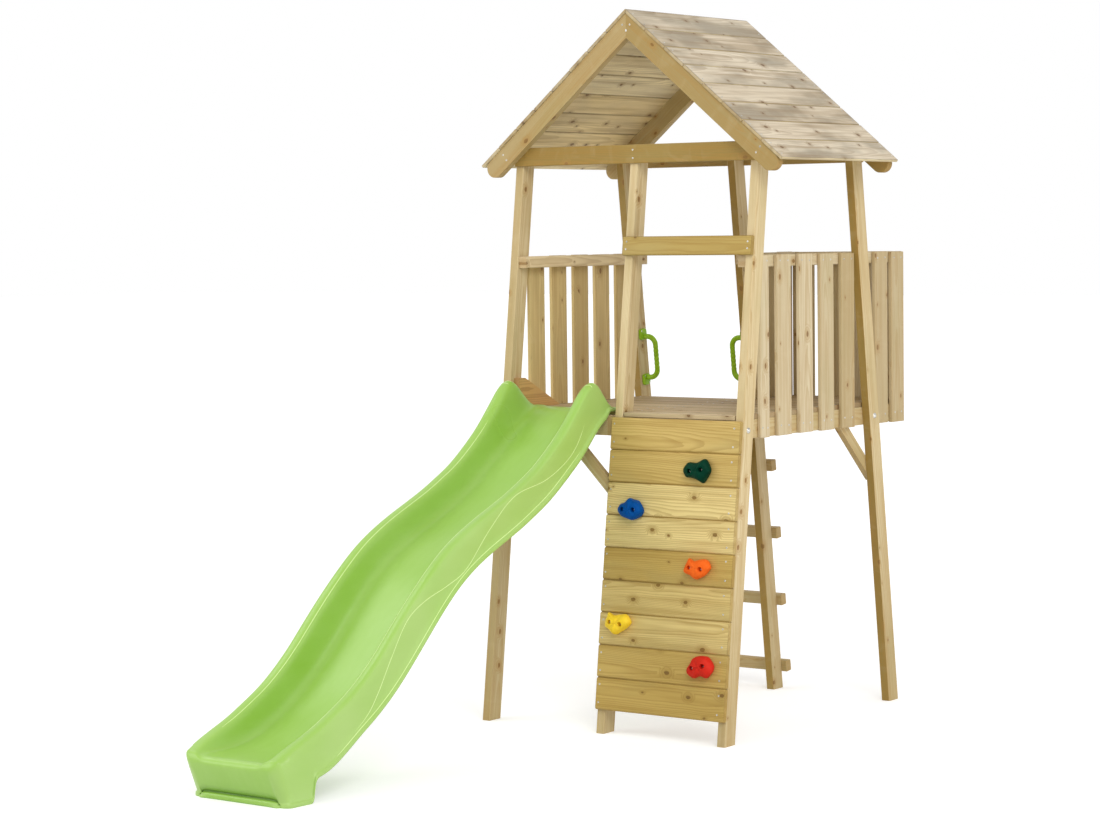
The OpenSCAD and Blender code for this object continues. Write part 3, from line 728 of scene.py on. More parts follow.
@dataclass
class TimberSet:
    """Wooden pieces of one finish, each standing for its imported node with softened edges."""

    title: str
    finish: WoodFinish
    grain: dict[str, Grain]
    shades: Pair = (0.0, 1.0)
    # Softened edges, and how faces are told apart
    arris: float = 0.0007
    arris_steps: int = 2
    sharp: float = math.radians(28)
    facing: float = 0.8
    aside: float = 0.3
    area_digits: int = 6
    # Place in the log
    log_long: float = 40.0
    pith_side: Pair = (-1.4, 1.4)
    pith_deep: Pair = (0.4, 1.8)
    pith_least: float = 0.02
    # How far boards lie out of true
    slip: float = 0.0
    skew: float = 0.0
    inset: Triple = (0.0, 0.0, 0.0)
    # Faces turned this way get painted shade, partly the heartwood's own brown
    heart_and_shade_way: Triple = (0.0, 0.0, 0.0)

    def build(self) -> None:
        """Make all the pieces of the set."""
        LOG.info("%s: %d pieces", self.title, len(self.grain))
        for node, way in self.grain.items():
            self.build_piece(node, Vector(way.value))

    def build_piece(self, node: str, along: Vector) -> None:
        """Make one piece.

        Args:
            node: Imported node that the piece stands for.
            along: Direction of its fibres.
        """
        bm = welded(node)
        end_mark = bm.faces.layers.float.new("end")
        bm.faces.layers.float.new("edge")
        heart_and_shade_mark = bm.faces.layers.float.new("heart_and_shade")
        for layer in ("grain", "spot", "half"):
            bm.verts.layers.float_vector.new(layer)
        bm.verts.layers.float.new("tone")
        corners = [e for e in bm.edges if e.is_manifold and e.calc_face_angle() > self.sharp]
        soft = bmesh.ops.bevel(
            bm, geom=corners, offset=self.arris, segments=self.arris_steps, profile=0.5,
            affect="EDGES", clamp_overlap=True,
        )
        for face in soft["faces"]:
            face.smooth = True
        # Mark the faces that get painted shade, partly heartwood brown
        heart_and_shade_way = Vector(self.heart_and_shade_way)
        for face in bm.faces:
            face[end_mark] = float(abs(face.normal.dot(along)) > self.facing)
            face[heart_and_shade_mark] = float(face.normal.dot(heart_and_shade_way) > self.facing)
        rng = random.Random(node)
        for group in islands(bm):
            self.mark_board(bm, group, along, rng)
        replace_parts(add_piece(f"{node}_wood", bm, self.finish), node)

    def mark_board(
        self,
        bm: bmesh.types.BMesh,
        group: list[bmesh.types.BMVert],
        along: Vector,
        rng: random.Random,
    ) -> None:
        """Write one board's own grain, place, size and tone, and set it slightly out of true.

        Args:
            bm: Mesh of the node.
            group: The board's vertices.
            along: Direction of the fibres.
            rng: Source of chance for this node.
        """
        faces = self.long_faces(bm, group, along)
        # Faces of one size tie once their areas are rounded, so each run picks the same one.
        out = max(faces, key=lambda f: round(f.calc_area(), self.area_digits)).normal.copy()
        out = (out - along * out.dot(along)).normalized()
        side = along.cross(out)
        edge_mark = bm.faces.layers.float["edge"]
        for face in faces:
            face[edge_mark] = float(abs(face.normal.dot(side)) > abs(face.normal.dot(out)))
        local = [Vector((v.co.dot(along), v.co.dot(side), v.co.dot(out))) for v in group]
        low = Vector([min(p[i] for p in local) for i in range(3)])
        high = Vector([max(p[i] for p in local) for i in range(3)])
        middle, half = (low + high) / 2, (high - low) / 2
        shift = rng.uniform(0.0, self.log_long)
        pith_side = rng.uniform(*self.pith_side) * half.y
        pith_way = rng.choice((-1, 1))
        pith_deep = pith_way * (self.pith_least + rng.uniform(*self.pith_deep) * half.y)
        shade = rng.uniform(*self.shades)
        vectors, values = bm.verts.layers.float_vector, bm.verts.layers.float
        for vert, place in zip(group, local):
            p = place - middle
            vert[vectors["grain"]] = p + Vector((shift, -pith_side, pith_deep))
            vert[vectors["spot"]] = p
            vert[vectors["half"]] = half
            vert[values["tone"]] = shade
        centre = along * middle.x + side * middle.y + out * middle.z
        self.set_out(group, centre, (along, out), rng)

    def long_faces(
        self, bm: bmesh.types.BMesh, group: list[bmesh.types.BMVert], along: Vector
    ) -> list[bmesh.types.BMFace]:
        """Find the faces along a board's fibres.

        Args:
            bm: Mesh of the node.
            group: The board's vertices.
            along: Direction of the fibres.

        Returns:
            The faces, in a steady order.
        """
        bm.faces.index_update()
        found = {f for v in group for f in v.link_faces}
        faces = [f for f in found if abs(f.normal.dot(along)) < self.aside]
        return sorted(faces, key=lambda f: f.index)

    def set_out(
        self,
        group: list[bmesh.types.BMVert],
        centre: Vector,
        ways: tuple[Vector, Vector],
        rng: random.Random,
    ) -> None:
        """Set one board slightly out of true.

        Args:
            group: The board's vertices.
            centre: The board's middle.
            ways: Directions of its fibres and out of its widest face.
            rng: Source of chance for this node.
        """
        along, out = ways
        slip = rng.uniform(-1, 1) * self.slip
        turn = math.radians(rng.uniform(-1, 1) * self.skew)
        target = centre + along * slip + Vector(self.inset)
        move = Matrix.Translation(target) @ Matrix.Rotation(turn, 4, out)
        move = move @ Matrix.Translation(-centre)
        for vert in group:
            vert.co = move @ vert.co


def curve_through(points: Sequence[Vector], steps: int, closed: bool = False) -> list[Vector]:
    """Draw a smooth curve through points.

    Args:
        points: Points that the curve passes.
        steps: Number of steps from one point to the next.
        closed: Whether the last point joins the first.

    Returns:
        The points of the curve.
    """
    count = len(points)
    made = []
    for i in range(count if closed else count - 1):
        spots = [i - 1, i, i + 1, i + 2]
        spots = [k % count if closed else min(max(k, 0), count - 1) for k in spots]
        a, b, c, d = (points[k] for k in spots)
        for j in range(steps):
            t = j / steps
            bend = (2 * a - 5 * b + 4 * c - d) * t + (3 * b - a - 3 * c + d) * t * t
            made.append(b + 0.5 * t * ((c - a) + bend))
    return made if closed else made + [points[-1].copy()]


def stitch(bm: bmesh.types.BMesh, loops: Sequence[Sequence[Vector]]) -> None:
    """Add a skin over loops of as many points each, with flat ends.

    Args:
        bm: Mesh to add to.
        loops: Rings of points, in order.
    """
    rows = [[bm.verts.new(p) for p in loop] for loop in loops]
    n = len(rows[0])
    skin = [
        bm.faces.new((a[j], a[(j + 1) % n], b[(j + 1) % n], b[j]))
        for a, b in zip(rows, rows[1:]) for j in range(n)
    ]
    for face in skin:
        face.smooth = True
    bm.faces.new(rows[0][::-1])
    bm.faces.new(rows[-1])


def sweep(
    bm: bmesh.types.BMesh, path: Sequence[Vector], radii: Sequence[float], sides: int
) -> None:
    """Add a round bar along a path.

    Args:
        bm: Mesh to add to.
        path: Middle line of the bar.
        radii: Radius at each point of the path.
        sides: Number of sides.
    """
    last = len(path) - 1
    ways = [(path[min(i + 1, last)] - path[max(i - 1, 0)]).normalized() for i in range(last + 1)]
    side = ways[0].orthogonal().normalized()
    angles = [2 * math.pi * k / sides for k in range(sides)]
    loops = []
    for spot, way, radius in zip(path, ways, radii):
        side = (side - way * side.dot(way)).normalized()
        other = way.cross(side)
        loops.append([spot + radius * (side * math.cos(a) + other * math.sin(a)) for a in angles])
    stitch(bm, loops)


def turned(
    bm: bmesh.types.BMesh, place: Matrix, profile: Sequence[Pair], sides: int, square: float = 2.0
) -> None:
    """Add a body turned about its place's own z axis.

    Args:
        bm: Mesh to add to.
        place: Place and direction of the body.
        profile: Radius and height of each ring, from the foot up.
        sides: Number of sides.
        square: 2 for round rings, more for rounded squares.
    """
    loops = []
    for radius, height in profile:
        loop = []
        for k in range(sides):
            a = 2 * math.pi * (k + 0.5) / sides
            c, n = math.cos(a), math.sin(a)
            out = radius / (abs(c) ** square + abs(n) ** square) ** (1 / square)
            loop.append(place @ Vector((out * c, out * n, height)))
        loops.append(loop)
    stitch(bm, loops)


def smooth_step(t: float) -> float:
    """Return a soft step from 0 to 1."""
    c = min(1.0, max(0.0, t))
    return c * c * (3 - 2 * c)


@dataclass(frozen=True)
class Side:
    """Directions along and up a flat face."""

    along: Triple
    up: Triple

    @property
    def out(self) -> Vector:
        """Return the direction out of the face."""
        return Vector(self.along).cross(Vector(self.up))

    def spans(self, corners: Sequence[Vector]) -> list[Pair]:
        """Measure how far points reach.

        Args:
            corners: The points.

        Returns:
            Their least and greatest reach along the face, up it and out of it.
        """
        made = []
        for way in (Vector(self.along), Vector(self.up), self.out):
            reach = [p.dot(way) for p in corners]
            made.append((min(reach), max(reach)))
        return made

    def place(self, along: float, up: float, out: float, turn: float = 0.0) -> Matrix:
        """Find a place in the face's own directions.

        Args:
            along: Its reach along the face.
            up: Its reach up the face.
            out: Its reach out of the face.
            turn: Its turn about the direction out of the face.

        Returns:
            The place, with z pointing out of the face.
        """
        ways = Matrix((Vector(self.along), Vector(self.up), self.out)).transposed()
        spot = ways @ Vector((along, up, out))
        return Matrix.Translation(spot) @ ways.to_4x4() @ Matrix.Rotation(turn, 4, "Z")


FRONT = Side(TO_RIGHT, Grain.FRONT_POST.value)


class Ring(NamedTuple):
    """Measures of one ring of the slide: its place, heights, half width and folds."""

    y: float
    bed: float
    crest: float
    skirt: float
    half: float
    sheet: float
    tuck: float
    fold: float
    back: float


@dataclass
class WaveSlide:
    """One-piece moulded slide, lofted densely through the same rings as its solid."""

    finish: PlasticFinish
    # Paler finish of the raised lines: a painted highlight
    highlight_finish: PlasticFinish
    node: str = "slide"
    # Overall sizes
    run: float = 1.959
    width: float = 0.440
    sheet: float = 0.005
    gap: float = 0.0005
    wall: float = 0.100
    shoulder: float = 0.044
    swell: float = 0.013
    skirt: float = 0.034
    toe_z: float = 0.146
    foot: float = 0.149
    # The bed's wave, in shares of run and fall, and how its rings are set
    wave: tuple[Pair, ...] = (
        (0, 1), (0.05, 0.993), (0.141, 0.885), (0.25, 0.745), (0.322, 0.675),
        (0.523, 0.5), (0.735, 0.158), (0.875, 0.02), (1, 0),
    )
    steps: int = 64
    fine_to: float = 0.2
    seam: float = 0.001
    slope_step: float = 0.004
    # Side walls; their places are shares of the run
    lip_wall: float = 0.006
    lip_at: float = 0.028
    rise_at: float = 0.108
    shoulder_at: float = 0.112
    shoulder_wide: float = 0.055
    swell_at: float = 0.7
    swell_wide: float = 0.09
    # Skirts; their places are shares of the run
    head_skirt: float = 0.008
    skirt_from: float = 0.075
    skirt_full: float = 0.165
    skirt_taper: float = 0.785
    # Toe and foot
    toe_taper: float = 0.84
    toe_wall: float = 0.018
    toe_skirt: float = 0.036
    toe_roll: float = 0.026
    toe_lip: float = 0.011
    toe_lip_h: float = 0.018
    toe_lip_round: float = 0.002
    toe_narrow: float = 0.04
    toe_back: float = 0.05
    toe_bed_fall: float = 1.0
    toe_crest_fall: float = 1.6
    toe_base: float = 0.98
    toe_base_draw: float = 0.9
    toe_angles: tuple[int, ...] = (15, 30, 45, 60, 75, 90)
    foot_tuck: float = 0.006
    # Points of a ring, across the slide
    wall_in: float = 0.092
    narrow_in: float = 0.46
    inner_wall: tuple[Pair, ...] = (
        (1, 0.05), (0.86, 0.2), (0.75, 0.5), (0.66, 0.86), (0.52, 0.975),
    )
    bed_points: int = 2
    outer_points: int = 5
    bed_flat: float = 0.45
    bed_dish: float = 0.01
    rim_in: float = 0.016
    rim_round: float = 0.001
    rim_h: float = 0.011
    rim_points: int = 4
    outer_in: float = 0.008
    fold_in: float = 0.008
    flange_h: float = 0.012
    fold_h: float = 0.018
    fold_head_h: float = 0.026
    # Limits where a side is low, in shares of it
    low_top: tuple[float, ...] = (0.05, 0.3, 0.5, 0.36)
    low_under: tuple[float, ...] = (0.2, 0.4, 0.45, 0.28)
    # The underside's offsets, in shares of the sheet
    under_wall: tuple[float, ...] = (0.0, 0.5, 1.0, 1.0, 0.4)
    under_draw: tuple[float, ...] = (0.4, 1.0, 1.0, 1.2, 1.0)
    under_drop: tuple[float, ...] = (1.2, 0.6, 0.6, 0.8)
    # Rounding
    smoothing: int = 2
    crease: float = 0.55
    # Raised lines; their places are shares of the run
    line: tuple[Pair, ...] = (
        (0.121, 0.125), (0.14, 0.06), (0.18, 0.032), (0.255, 0.059), (0.354, 0.109),
        (0.43, 0.066), (0.5, 0.01), (0.555, 0.041), (0.62, 0.116), (0.67, 0.15), (0.715, 0.106),
        (0.755, 0.044), (0.792, 0.014), (0.88, 0.01),
    )
    line_radius: float = 0.0022
    line_proud: float = 0.0008
    line_steps: int = 10
    line_sides: int = 8
    line_tip: float = 0.2
    line_swell: float = 8.0
    edge_lines: tuple[tuple[int, float, float], ...] = ((6, 0.125, 0.985), (9, 0.1, 0.91))
    scores: tuple[float, ...] = (0.096, 0.107)
    score_points: tuple[int, int] = (6, 9)
    # Groove over the toe's lip, and which of its rings and points get painted shade
    groove: tuple[Pair, ...] = ((-0.0005, 0.031), (-0.007, 0.026), (-0.006, 0.0215))
    groove_rings: tuple[int, int] = (-4, -2)
    groove_points: int = 8
    # Softened crest of the toe
    soft_from: float = 0.03
    soft_up: float = 0.032
    soft_rounds: int = 10
    soft_share: float = 0.5

    def __post_init__(self) -> None:
        """Take the slide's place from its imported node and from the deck."""
        self.middle_x = middle_of(self.node, 0)
        self.top_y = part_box(self.node)[1][1]
        self.toe_y = self.top_y - self.run
        self.deck_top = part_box("deck_boards")[1][2]
        self.deck_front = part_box("fascia_slide")[0][1]
        self.top_z = self.deck_top + self.sheet + self.gap
        self.foot_start = 1 - self.foot / self.run
        self.line_sink = self.line_proud - self.line_radius
        self.half_points = self.bed_points + len(self.inner_wall) + self.outer_points

    def slope(self, i: int) -> float:
        """Find the wave's slope at a knot.

        Args:
            i: Number of the knot.

        Returns:
            Rise over run, in shares; none at both ends.
        """
        if i in (0, len(self.wave) - 1):
            return 0.0
        before, after = self.wave[i - 1], self.wave[i + 1]
        return (after[1] - before[1]) / (after[0] - before[0])

    def bed_z(self, u: float) -> float:
        """Find the bed's height, on a cubic through the wave's knots.

        Args:
            u: Share of the run.

        Returns:
            Height over the ground.
        """
        i = max(k for k in range(len(self.wave) - 1) if u >= self.wave[k][0])
        a, b = self.wave[i], self.wave[i + 1]
        w = b[0] - a[0]
        t = (u - a[0]) / w
        share = (
            (1 + 2 * t) * (1 - t) ** 2 * a[1] + t * (1 - t) ** 2 * w * self.slope(i)
            + t * t * (3 - 2 * t) * b[1] + t * t * (t - 1) * w * self.slope(i + 1)
        )
        return self.toe_z + (self.top_z - self.toe_z) * share

    def bed_cos(self, u: float) -> float:
        """Return the cosine of the bed's slope at a share of the run."""
        a, b = max(0.0, u - self.slope_step), min(1.0, u + self.slope_step)
        return math.cos(math.atan((self.bed_z(b) - self.bed_z(a)) / ((b - a) * self.run)))

    def wall_h(self, u: float) -> float:
        """Find the side wall's height.

        Args:
            u: Share of the run.

        Returns:
            Height of the crest over the bed, square to the bed.
        """
        bump = self.shoulder * math.exp(-(((u - self.shoulder_at) / self.shoulder_wide) ** 2))
        bump += self.swell * math.exp(-(((u - self.swell_at) / self.swell_wide) ** 2))
        climb = smooth_step((u - self.lip_at) / (self.rise_at - self.lip_at))
        rise = self.lip_wall + (self.wall + self.shoulder) * climb
        fade = max(0.0, (u - self.toe_taper) / (1 - self.toe_taper)) ** 2
        return min(rise, self.wall + (self.toe_wall - self.wall) * fade + bump)

    def run_ring(self, u: float) -> Ring:
        """Measure a ring of the run.

        Args:
            u: Share of the run.

        Returns:
            The ring.
        """
        y = self.top_y - u * self.run
        z, c = self.bed_z(u), self.bed_cos(u)
        foot = (self.toe_y + self.foot - y) / self.foot
        taper = smooth_step((u - self.skirt_taper) / (self.foot_start - self.skirt_taper))
        deepen = smooth_step((u - self.skirt_from) / (self.skirt_full - self.skirt_from))
        deep = self.head_skirt + (self.skirt - self.head_skirt) * deepen + self.toe_skirt * taper
        skirt = z - deep / c
        if y > self.deck_front - self.gap:
            skirt = self.deck_top + self.gap
        if foot > 0:
            skirt = 0.0
        fade = smooth_step((u - self.shoulder_at) / (2 * self.fine_to))
        fold = self.fold_head_h + (self.fold_h - self.fold_head_h) * fade
        tuck, back = self.foot_tuck * smooth_step(foot), self.toe_back * smooth_step(foot)
        crest = z + self.wall_h(u) / c
        return Ring(y, z, crest, skirt, self.width / 2, self.sheet, tuck, fold, back)

    def toe_ring(self, degrees: float) -> Ring:
        """Measure a solid ring that rolls over the toe.

        Args:
            degrees: How far it has rolled.

        Returns:
            The ring.
        """
        a = math.radians(degrees)
        down = self.toe_roll * (1 - math.cos(a))
        narrow = self.toe_narrow * (1 - math.cos(a))
        return Ring(
            y=self.toe_y - self.toe_roll * math.sin(a),
            bed=self.toe_z - self.toe_bed_fall * down,
            crest=self.toe_z + self.toe_wall - self.toe_crest_fall * down,
            skirt=0.0,
            half=self.width / 2 - narrow,
            sheet=0.0,
            tuck=self.foot_tuck - (1 - self.toe_base_draw) * narrow,
            fold=self.fold_h,
            back=self.toe_back,
        )

    def lip_ring(self, past: float, height: float, draw: float) -> Ring:
        """Measure a ring of the lip along the toe's base.

        Args:
            past: How far it lies beyond the rolled toe.
            height: Its height over the ground.
            draw: How far its corners are drawn in.

        Returns:
            The ring.
        """
        y = self.toe_y - self.toe_roll - past
        half = self.width / 2 - self.foot_tuck - draw
        return Ring(y, height, height, 0.0, half, 0.0, 0.0, self.fold_h, self.toe_back)

    def ring_y(self, ring: Ring, z: float) -> float:
        """Return where a ring's point at that height lies along y."""
        up = (z - self.toe_lip_h) / (self.toe_z - self.toe_roll - self.toe_lip_h)
        return ring.y + ring.back * (1 - min(1.0, max(0.0, up)))

    def upper_half(self, ring: Ring) -> list[Pair]:
        """Draw a ring's right upper half.

        Args:
            ring: The ring.

        Returns:
            Its points across and up, from the bed's middle out to the skirt.
        """
        zb, zc, zs, w, tuck = ring.bed, ring.crest, ring.skirt, ring.half, ring.tuck
        d, side = zc - zb, zc - zs
        inward = min(self.wall_in, self.narrow_in * w)
        points = [(0.0, zb), (w * self.bed_flat, zb + self.bed_dish * d)]
        points += [(w - p[0] * inward, zb + p[1] * d) for p in self.inner_wall]
        return points + [
            (w - self.rim_in, zc - min(self.rim_round, self.low_top[0] * side)),
            (w - self.outer_in, zc - min(self.rim_h, self.low_top[1] * side)),
            (w - self.fold_in - tuck, zs + min(ring.fold, self.low_top[2] * side)),
            (w - tuck, zs + min(self.flange_h, self.low_top[3] * side)),
            (w - tuck, zs),
        ]

    def under_half(self, ring: Ring) -> list[Pair]:
        """Draw a ring's right under half.

        Args:
            ring: The ring.

        Returns:
            Its points across and up, one for each point of the upper half.
        """
        zb, zc, zs, w, tuck = ring.bed, ring.crest, ring.skirt, ring.half, ring.tuck
        t, d, side = ring.sheet, zc - zb, zc - zs
        if t == 0:
            last = self.half_points - 1
            return [(self.toe_base * (w - tuck) * i / last, zs) for i in range(last + 1)]
        points = [(0.0, zb - t), (w * self.bed_flat, zb + self.bed_dish * d - t)]
        for p, share in zip(self.inner_wall, self.under_wall):
            points.append((w - p[0] * self.wall_in + share * t, max(zs, zb + p[1] * d - t)))
        draw = [share * t for share in self.under_draw]
        drop = [share * t for share in self.under_drop]
        low = [share * side for share in self.low_under]
        return points + [
            (w - self.rim_in - draw[0], zc - min(drop[0], low[0])),
            (w - self.outer_in - draw[1], zc - min(self.rim_h + drop[1], low[1])),
            (w - self.fold_in - draw[2] - tuck, zs + min(ring.fold - drop[2], low[2])),
            (w - draw[3] - tuck, zs + min(self.flange_h - drop[3], low[3])),
            (w - draw[4] - tuck, zs),
        ]

    def rings(self) -> list[Ring]:
        """Measure all the rings.

        Returns:
            The rings from the top lip to the toe's base lip.
        """
        places = [i / self.steps / 2 for i in range(int(2 * self.steps * self.fine_to) + 1)]
        even = [i / self.steps for i in range(self.steps + 1)]
        clear = 4 * self.seam
        places += [u for u in even if self.fine_to + self.seam < u < self.foot_start - clear]
        places += [self.foot_start - self.seam, self.foot_start + self.seam]
        places += [u for u in even if u > self.foot_start + clear]
        made = [self.run_ring(u) for u in places] + [self.toe_ring(a) for a in self.toe_angles]
        draw = self.toe_base_draw * self.toe_narrow
        made += [self.lip_ring(past, height, draw) for past, height in self.groove]
        made.append(self.lip_ring(self.toe_lip / 4, self.toe_lip_h + self.toe_lip_round, draw))
        made.append(self.lip_ring(self.toe_lip, self.toe_lip_h, draw + self.toe_lip))
        return made

    def build(self) -> None:
        """Make the slide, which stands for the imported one, and its moulded lines."""
        piece = add_piece("slide_moulding", self.loft(), self.finish)
        add_rounding(piece, self.smoothing)
        settle(piece)
        self.soften_toe(piece)
        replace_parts(piece, self.node)
        self.build_lines(piece)

    def loft(self) -> bmesh.types.BMesh:
        """Stitch the rings into one closed skin.

        Returns:
            The coarse mesh, with its hazy rims, its groove's painted shade and its creases marked.
        """
        bm = bmesh.new()
        haze = bm.verts.layers.float.new("haze")
        groove = bm.verts.layers.float.new("groove")
        crease = bm.edges.layers.float.new("crease_edge")
        count = self.half_points
        last = 2 * count - 1
        rims = (*range(self.rim_points), *range(last - self.rim_points, last))
        loops = []
        for ring in self.rings():
            halves = (self.upper_half(ring), self.under_half(ring))
            upper, under = ([(-x, z) for x, z in half[:0:-1]] + half for half in halves)
            spots = [
                (self.middle_x + x, self.ring_y(ring, z), z) for x, z in upper + under[::-1]
            ]
            loops.append([bm.verts.new(spot) for spot in spots])
            for j in rims:
                loops[-1][j][haze] = 1.0
        # Mark the groove's rings for painted shade
        for loop in loops[slice(*self.groove_rings)]:
            for vert in loop[count - 1 - self.groove_points:count + self.groove_points]:
                vert[groove] = 1.0
        n = len(loops[0])
        for a, b in zip(loops, loops[1:]):
            for j in range(n):
                k = (j + 1) % n
                bm.faces.new((a[j], a[k], b[k], b[j]))
            for j in rims:
                bm.edges.get((a[j], b[j]))[crease] = self.crease
        for end in (loops[0], loops[-1]):
            for j in range(n // 2 - 1):
                bm.faces.new((end[j], end[j + 1], end[n - 2 - j], end[n - 1 - j]))
        bmesh.ops.recalc_face_normals(bm, faces=bm.faces)
        for face in bm.faces:
            face.smooth = True
        return bm

    def soften_toe(self, piece: bpy.types.Object) -> None:
        """Round the toe's crest and corners further, as the mould does.

        Args:
            piece: The finished slide.
        """
        bm = bmesh.new()
        bm.from_mesh(piece.data)
        line = self.toe_y + self.soft_from
        soft = [v for v in bm.verts if v.co.y < line and v.co.z > self.soft_up]
        for _ in range(self.soft_rounds):
            bmesh.ops.smooth_vert(
                bm, verts=soft, factor=self.soft_share, use_axis_x=True, use_axis_y=True,
                use_axis_z=True,
            )
        bm.to_mesh(piece.data)
        bm.free()

    def build_lines(self, piece: bpy.types.Object) -> None:
        """Raise the moulded lines on both walls, in a paler finish that is a painted highlight.

        Args:
            piece: The finished slide, on whose walls the lines lie.
        """
        skin = BVHTree.FromPolygons(
            [v.co for v in piece.data.vertices], [f.vertices for f in piece.data.polygons]
        )
        bm = bmesh.new()
        for side in (-1, 1):
            self.add_line(bm, self.wave_path(skin, side))
            for point, start, end in self.edge_lines:
                self.add_line(bm, self.edge_path(skin, side, point, (start, end)))
            for u in self.scores:
                self.add_line(bm, self.score_path(skin, side, u))
        add_piece("slide_moulded_lines", bm, self.highlight_finish)

    def wave_path(self, skin: BVHTree, side: int) -> list[Vector]:
        """Draw the wavy line on one outer wall.

        Args:
            skin: The slide's faces.
            side: -1 for the left wall, 1 for the right one.

        Returns:
            The line's points.
        """
        route = []
        for u, up in self.line:
            ring = self.run_ring(u)
            route.append(Vector((0.0, ring.y, ring.skirt + ring.fold + up)))
        path = []
        for spot in curve_through(route, self.line_steps):
            start = Vector((self.middle_x + side * self.width, spot.y, spot.z))
            hit = skin.ray_cast(start, Vector((-side, 0.0, 0.0)))[0]
            if hit is not None:
                path.append(hit + Vector((side * self.line_sink, 0.0, 0.0)))
        return path

    def edge_path(self, skin: BVHTree, side: int, point: int, part: Pair) -> list[Vector]:
        """Draw a line that keeps to one point of the rings.

        Args:
            skin: The slide's faces.
            side: -1 for the left wall, 1 for the right one.
            point: Number of the point in the upper half.
            part: Start and end in shares of the run.

        Returns:
            The line's points.
        """
        start, end = part
        last = 2 * self.steps
        path = []
        for i in range(last + 1):
            ring = self.run_ring(start + (end - start) * i / last)
            x, z = self.upper_half(ring)[point]
            spot = Vector((self.middle_x + side * x, self.ring_y(ring, z), z))
            path.append(self.on_skin(skin, spot))
        return path

    def score_path(self, skin: BVHTree, side: int, u: float) -> list[Vector]:
        """Draw a short line across one rim.

        Args:
            skin: The slide's faces.
            side: -1 for the left rim, 1 for the right one.
            u: Share of the run.

        Returns:
            The line's points.
        """
        ring = self.run_ring(u)
        rim = self.upper_half(ring)[slice(*self.score_points)]
        over = [Vector((x, ring.y, z)) for x, z in rim]
        path = []
        for spot in curve_through(over, self.line_steps):
            spot.x = self.middle_x + side * spot.x
            path.append(self.on_skin(skin, spot))
        return path

    def on_skin(self, skin: BVHTree, spot: Vector) -> Vector:
        """Return the point of the skin nearest to a spot, with a line's middle sunk into it."""
        place, normal, _, _ = skin.find_nearest(spot)
        return place + normal * self.line_sink

    def add_line(self, bm: bmesh.types.BMesh, path: Sequence[Vector]) -> None:
        """Add one raised line, thin at its ends.

        Args:
            bm: Mesh to add to.
            path: Middle of the line.
        """
        last = len(path) - 1
        ends = [min(i, last - i) / last for i in range(last + 1)]
        thin = [min(1.0, self.line_tip + self.line_swell * share) for share in ends]
        sweep(bm, path, [self.line_radius * t for t in thin], self.line_sides)


@dataclass
class WallLips:
    """Lapped lips of the wall boards, which close the joints from behind."""

    finish: WoodFinish
    high: float = 0.012
    deep: Pair = (0.35, 0.75)
    end_in: float = 0.004

    def build(self) -> None:
        """Make a lip behind every joint of the wall."""
        bm = bmesh.new()
        tone = bm.verts.layers.float.new("tone")
        spans = [FRONT.spans(boards(node)[0]) for node in WALL_BOARDS]
        for (along, low_up, out), (_, high_up, _) in zip(spans, spans[1:]):
            middle = (low_up[1] + high_up[0]) / 2
            thick = out[1] - out[0]
            back, face = (out[0] + share * thick for share in self.deep)
            corners = ((-1, back), (1, back), (1, face), (-1, face))
            loops = []
            for x in (along[0] + self.end_in, along[1] - self.end_in):
                loops.append([
                    FRONT.place(x, middle + way * self.high / 2, depth).translation
                    for way, depth in corners
                ])
            stitch(bm, loops)
        for vert in bm.verts:
            vert[tone] = 1.0
        add_piece("wall_board_lips", bm, self.finish)


@dataclass(frozen=True)
class Hold:
    """One hold: its colours, the tilt of its bolts in degrees, its outline in millimetres."""

    name: str
    colour: str
    pale: str
    tilt: float
    outline: tuple[Pair, ...]


HEART_OUTLINE: tuple[Pair, ...] = (
    (-40, 36), (-17, 26), (13, 34), (43, 32), (60, 8), (43, -12), (23, -28), (-7, -42),
    (-32, -28), (-58, -16), (-54, 4), (-46, 20),
)
HOLDS = (
    Hold("green", "#022e1f", "#063d2b", 8.0, (
        (59, 0), (51, 24), (30, 43), (0, 30), (-20, 28), (-47, 26), (-62, -4), (-47, -24),
        (-25, -26), (2, -38), (25, -44), (47, -24),
    )),
    Hold("blue", "#03468f", "#0d58a4", 0.0, (
        (-55, -4), (-45, 18), (-28, 24), (-8, 44), (12, 40), (37, 32), (56, 4), (50, -16),
        (37, -28), (10, -40), (-15, -32), (-40, -26),
    )),
    Hold("orange", "#ee6119", "#f4742e", -4.0, HEART_OUTLINE),
    Hold("yellow", "#f9d22c", "#fbd94e", -6.0, HEART_OUTLINE),
    Hold("red", "#cc271b", "#d93b2d", 12.0, (
        (-30, 30), (-5, 40), (20, 42), (40, 34), (56, 10), (52, -14), (30, -38), (0, -34),
        (-25, -41), (-50, -30), (-54, -10), (-40, 10),
    )),
)


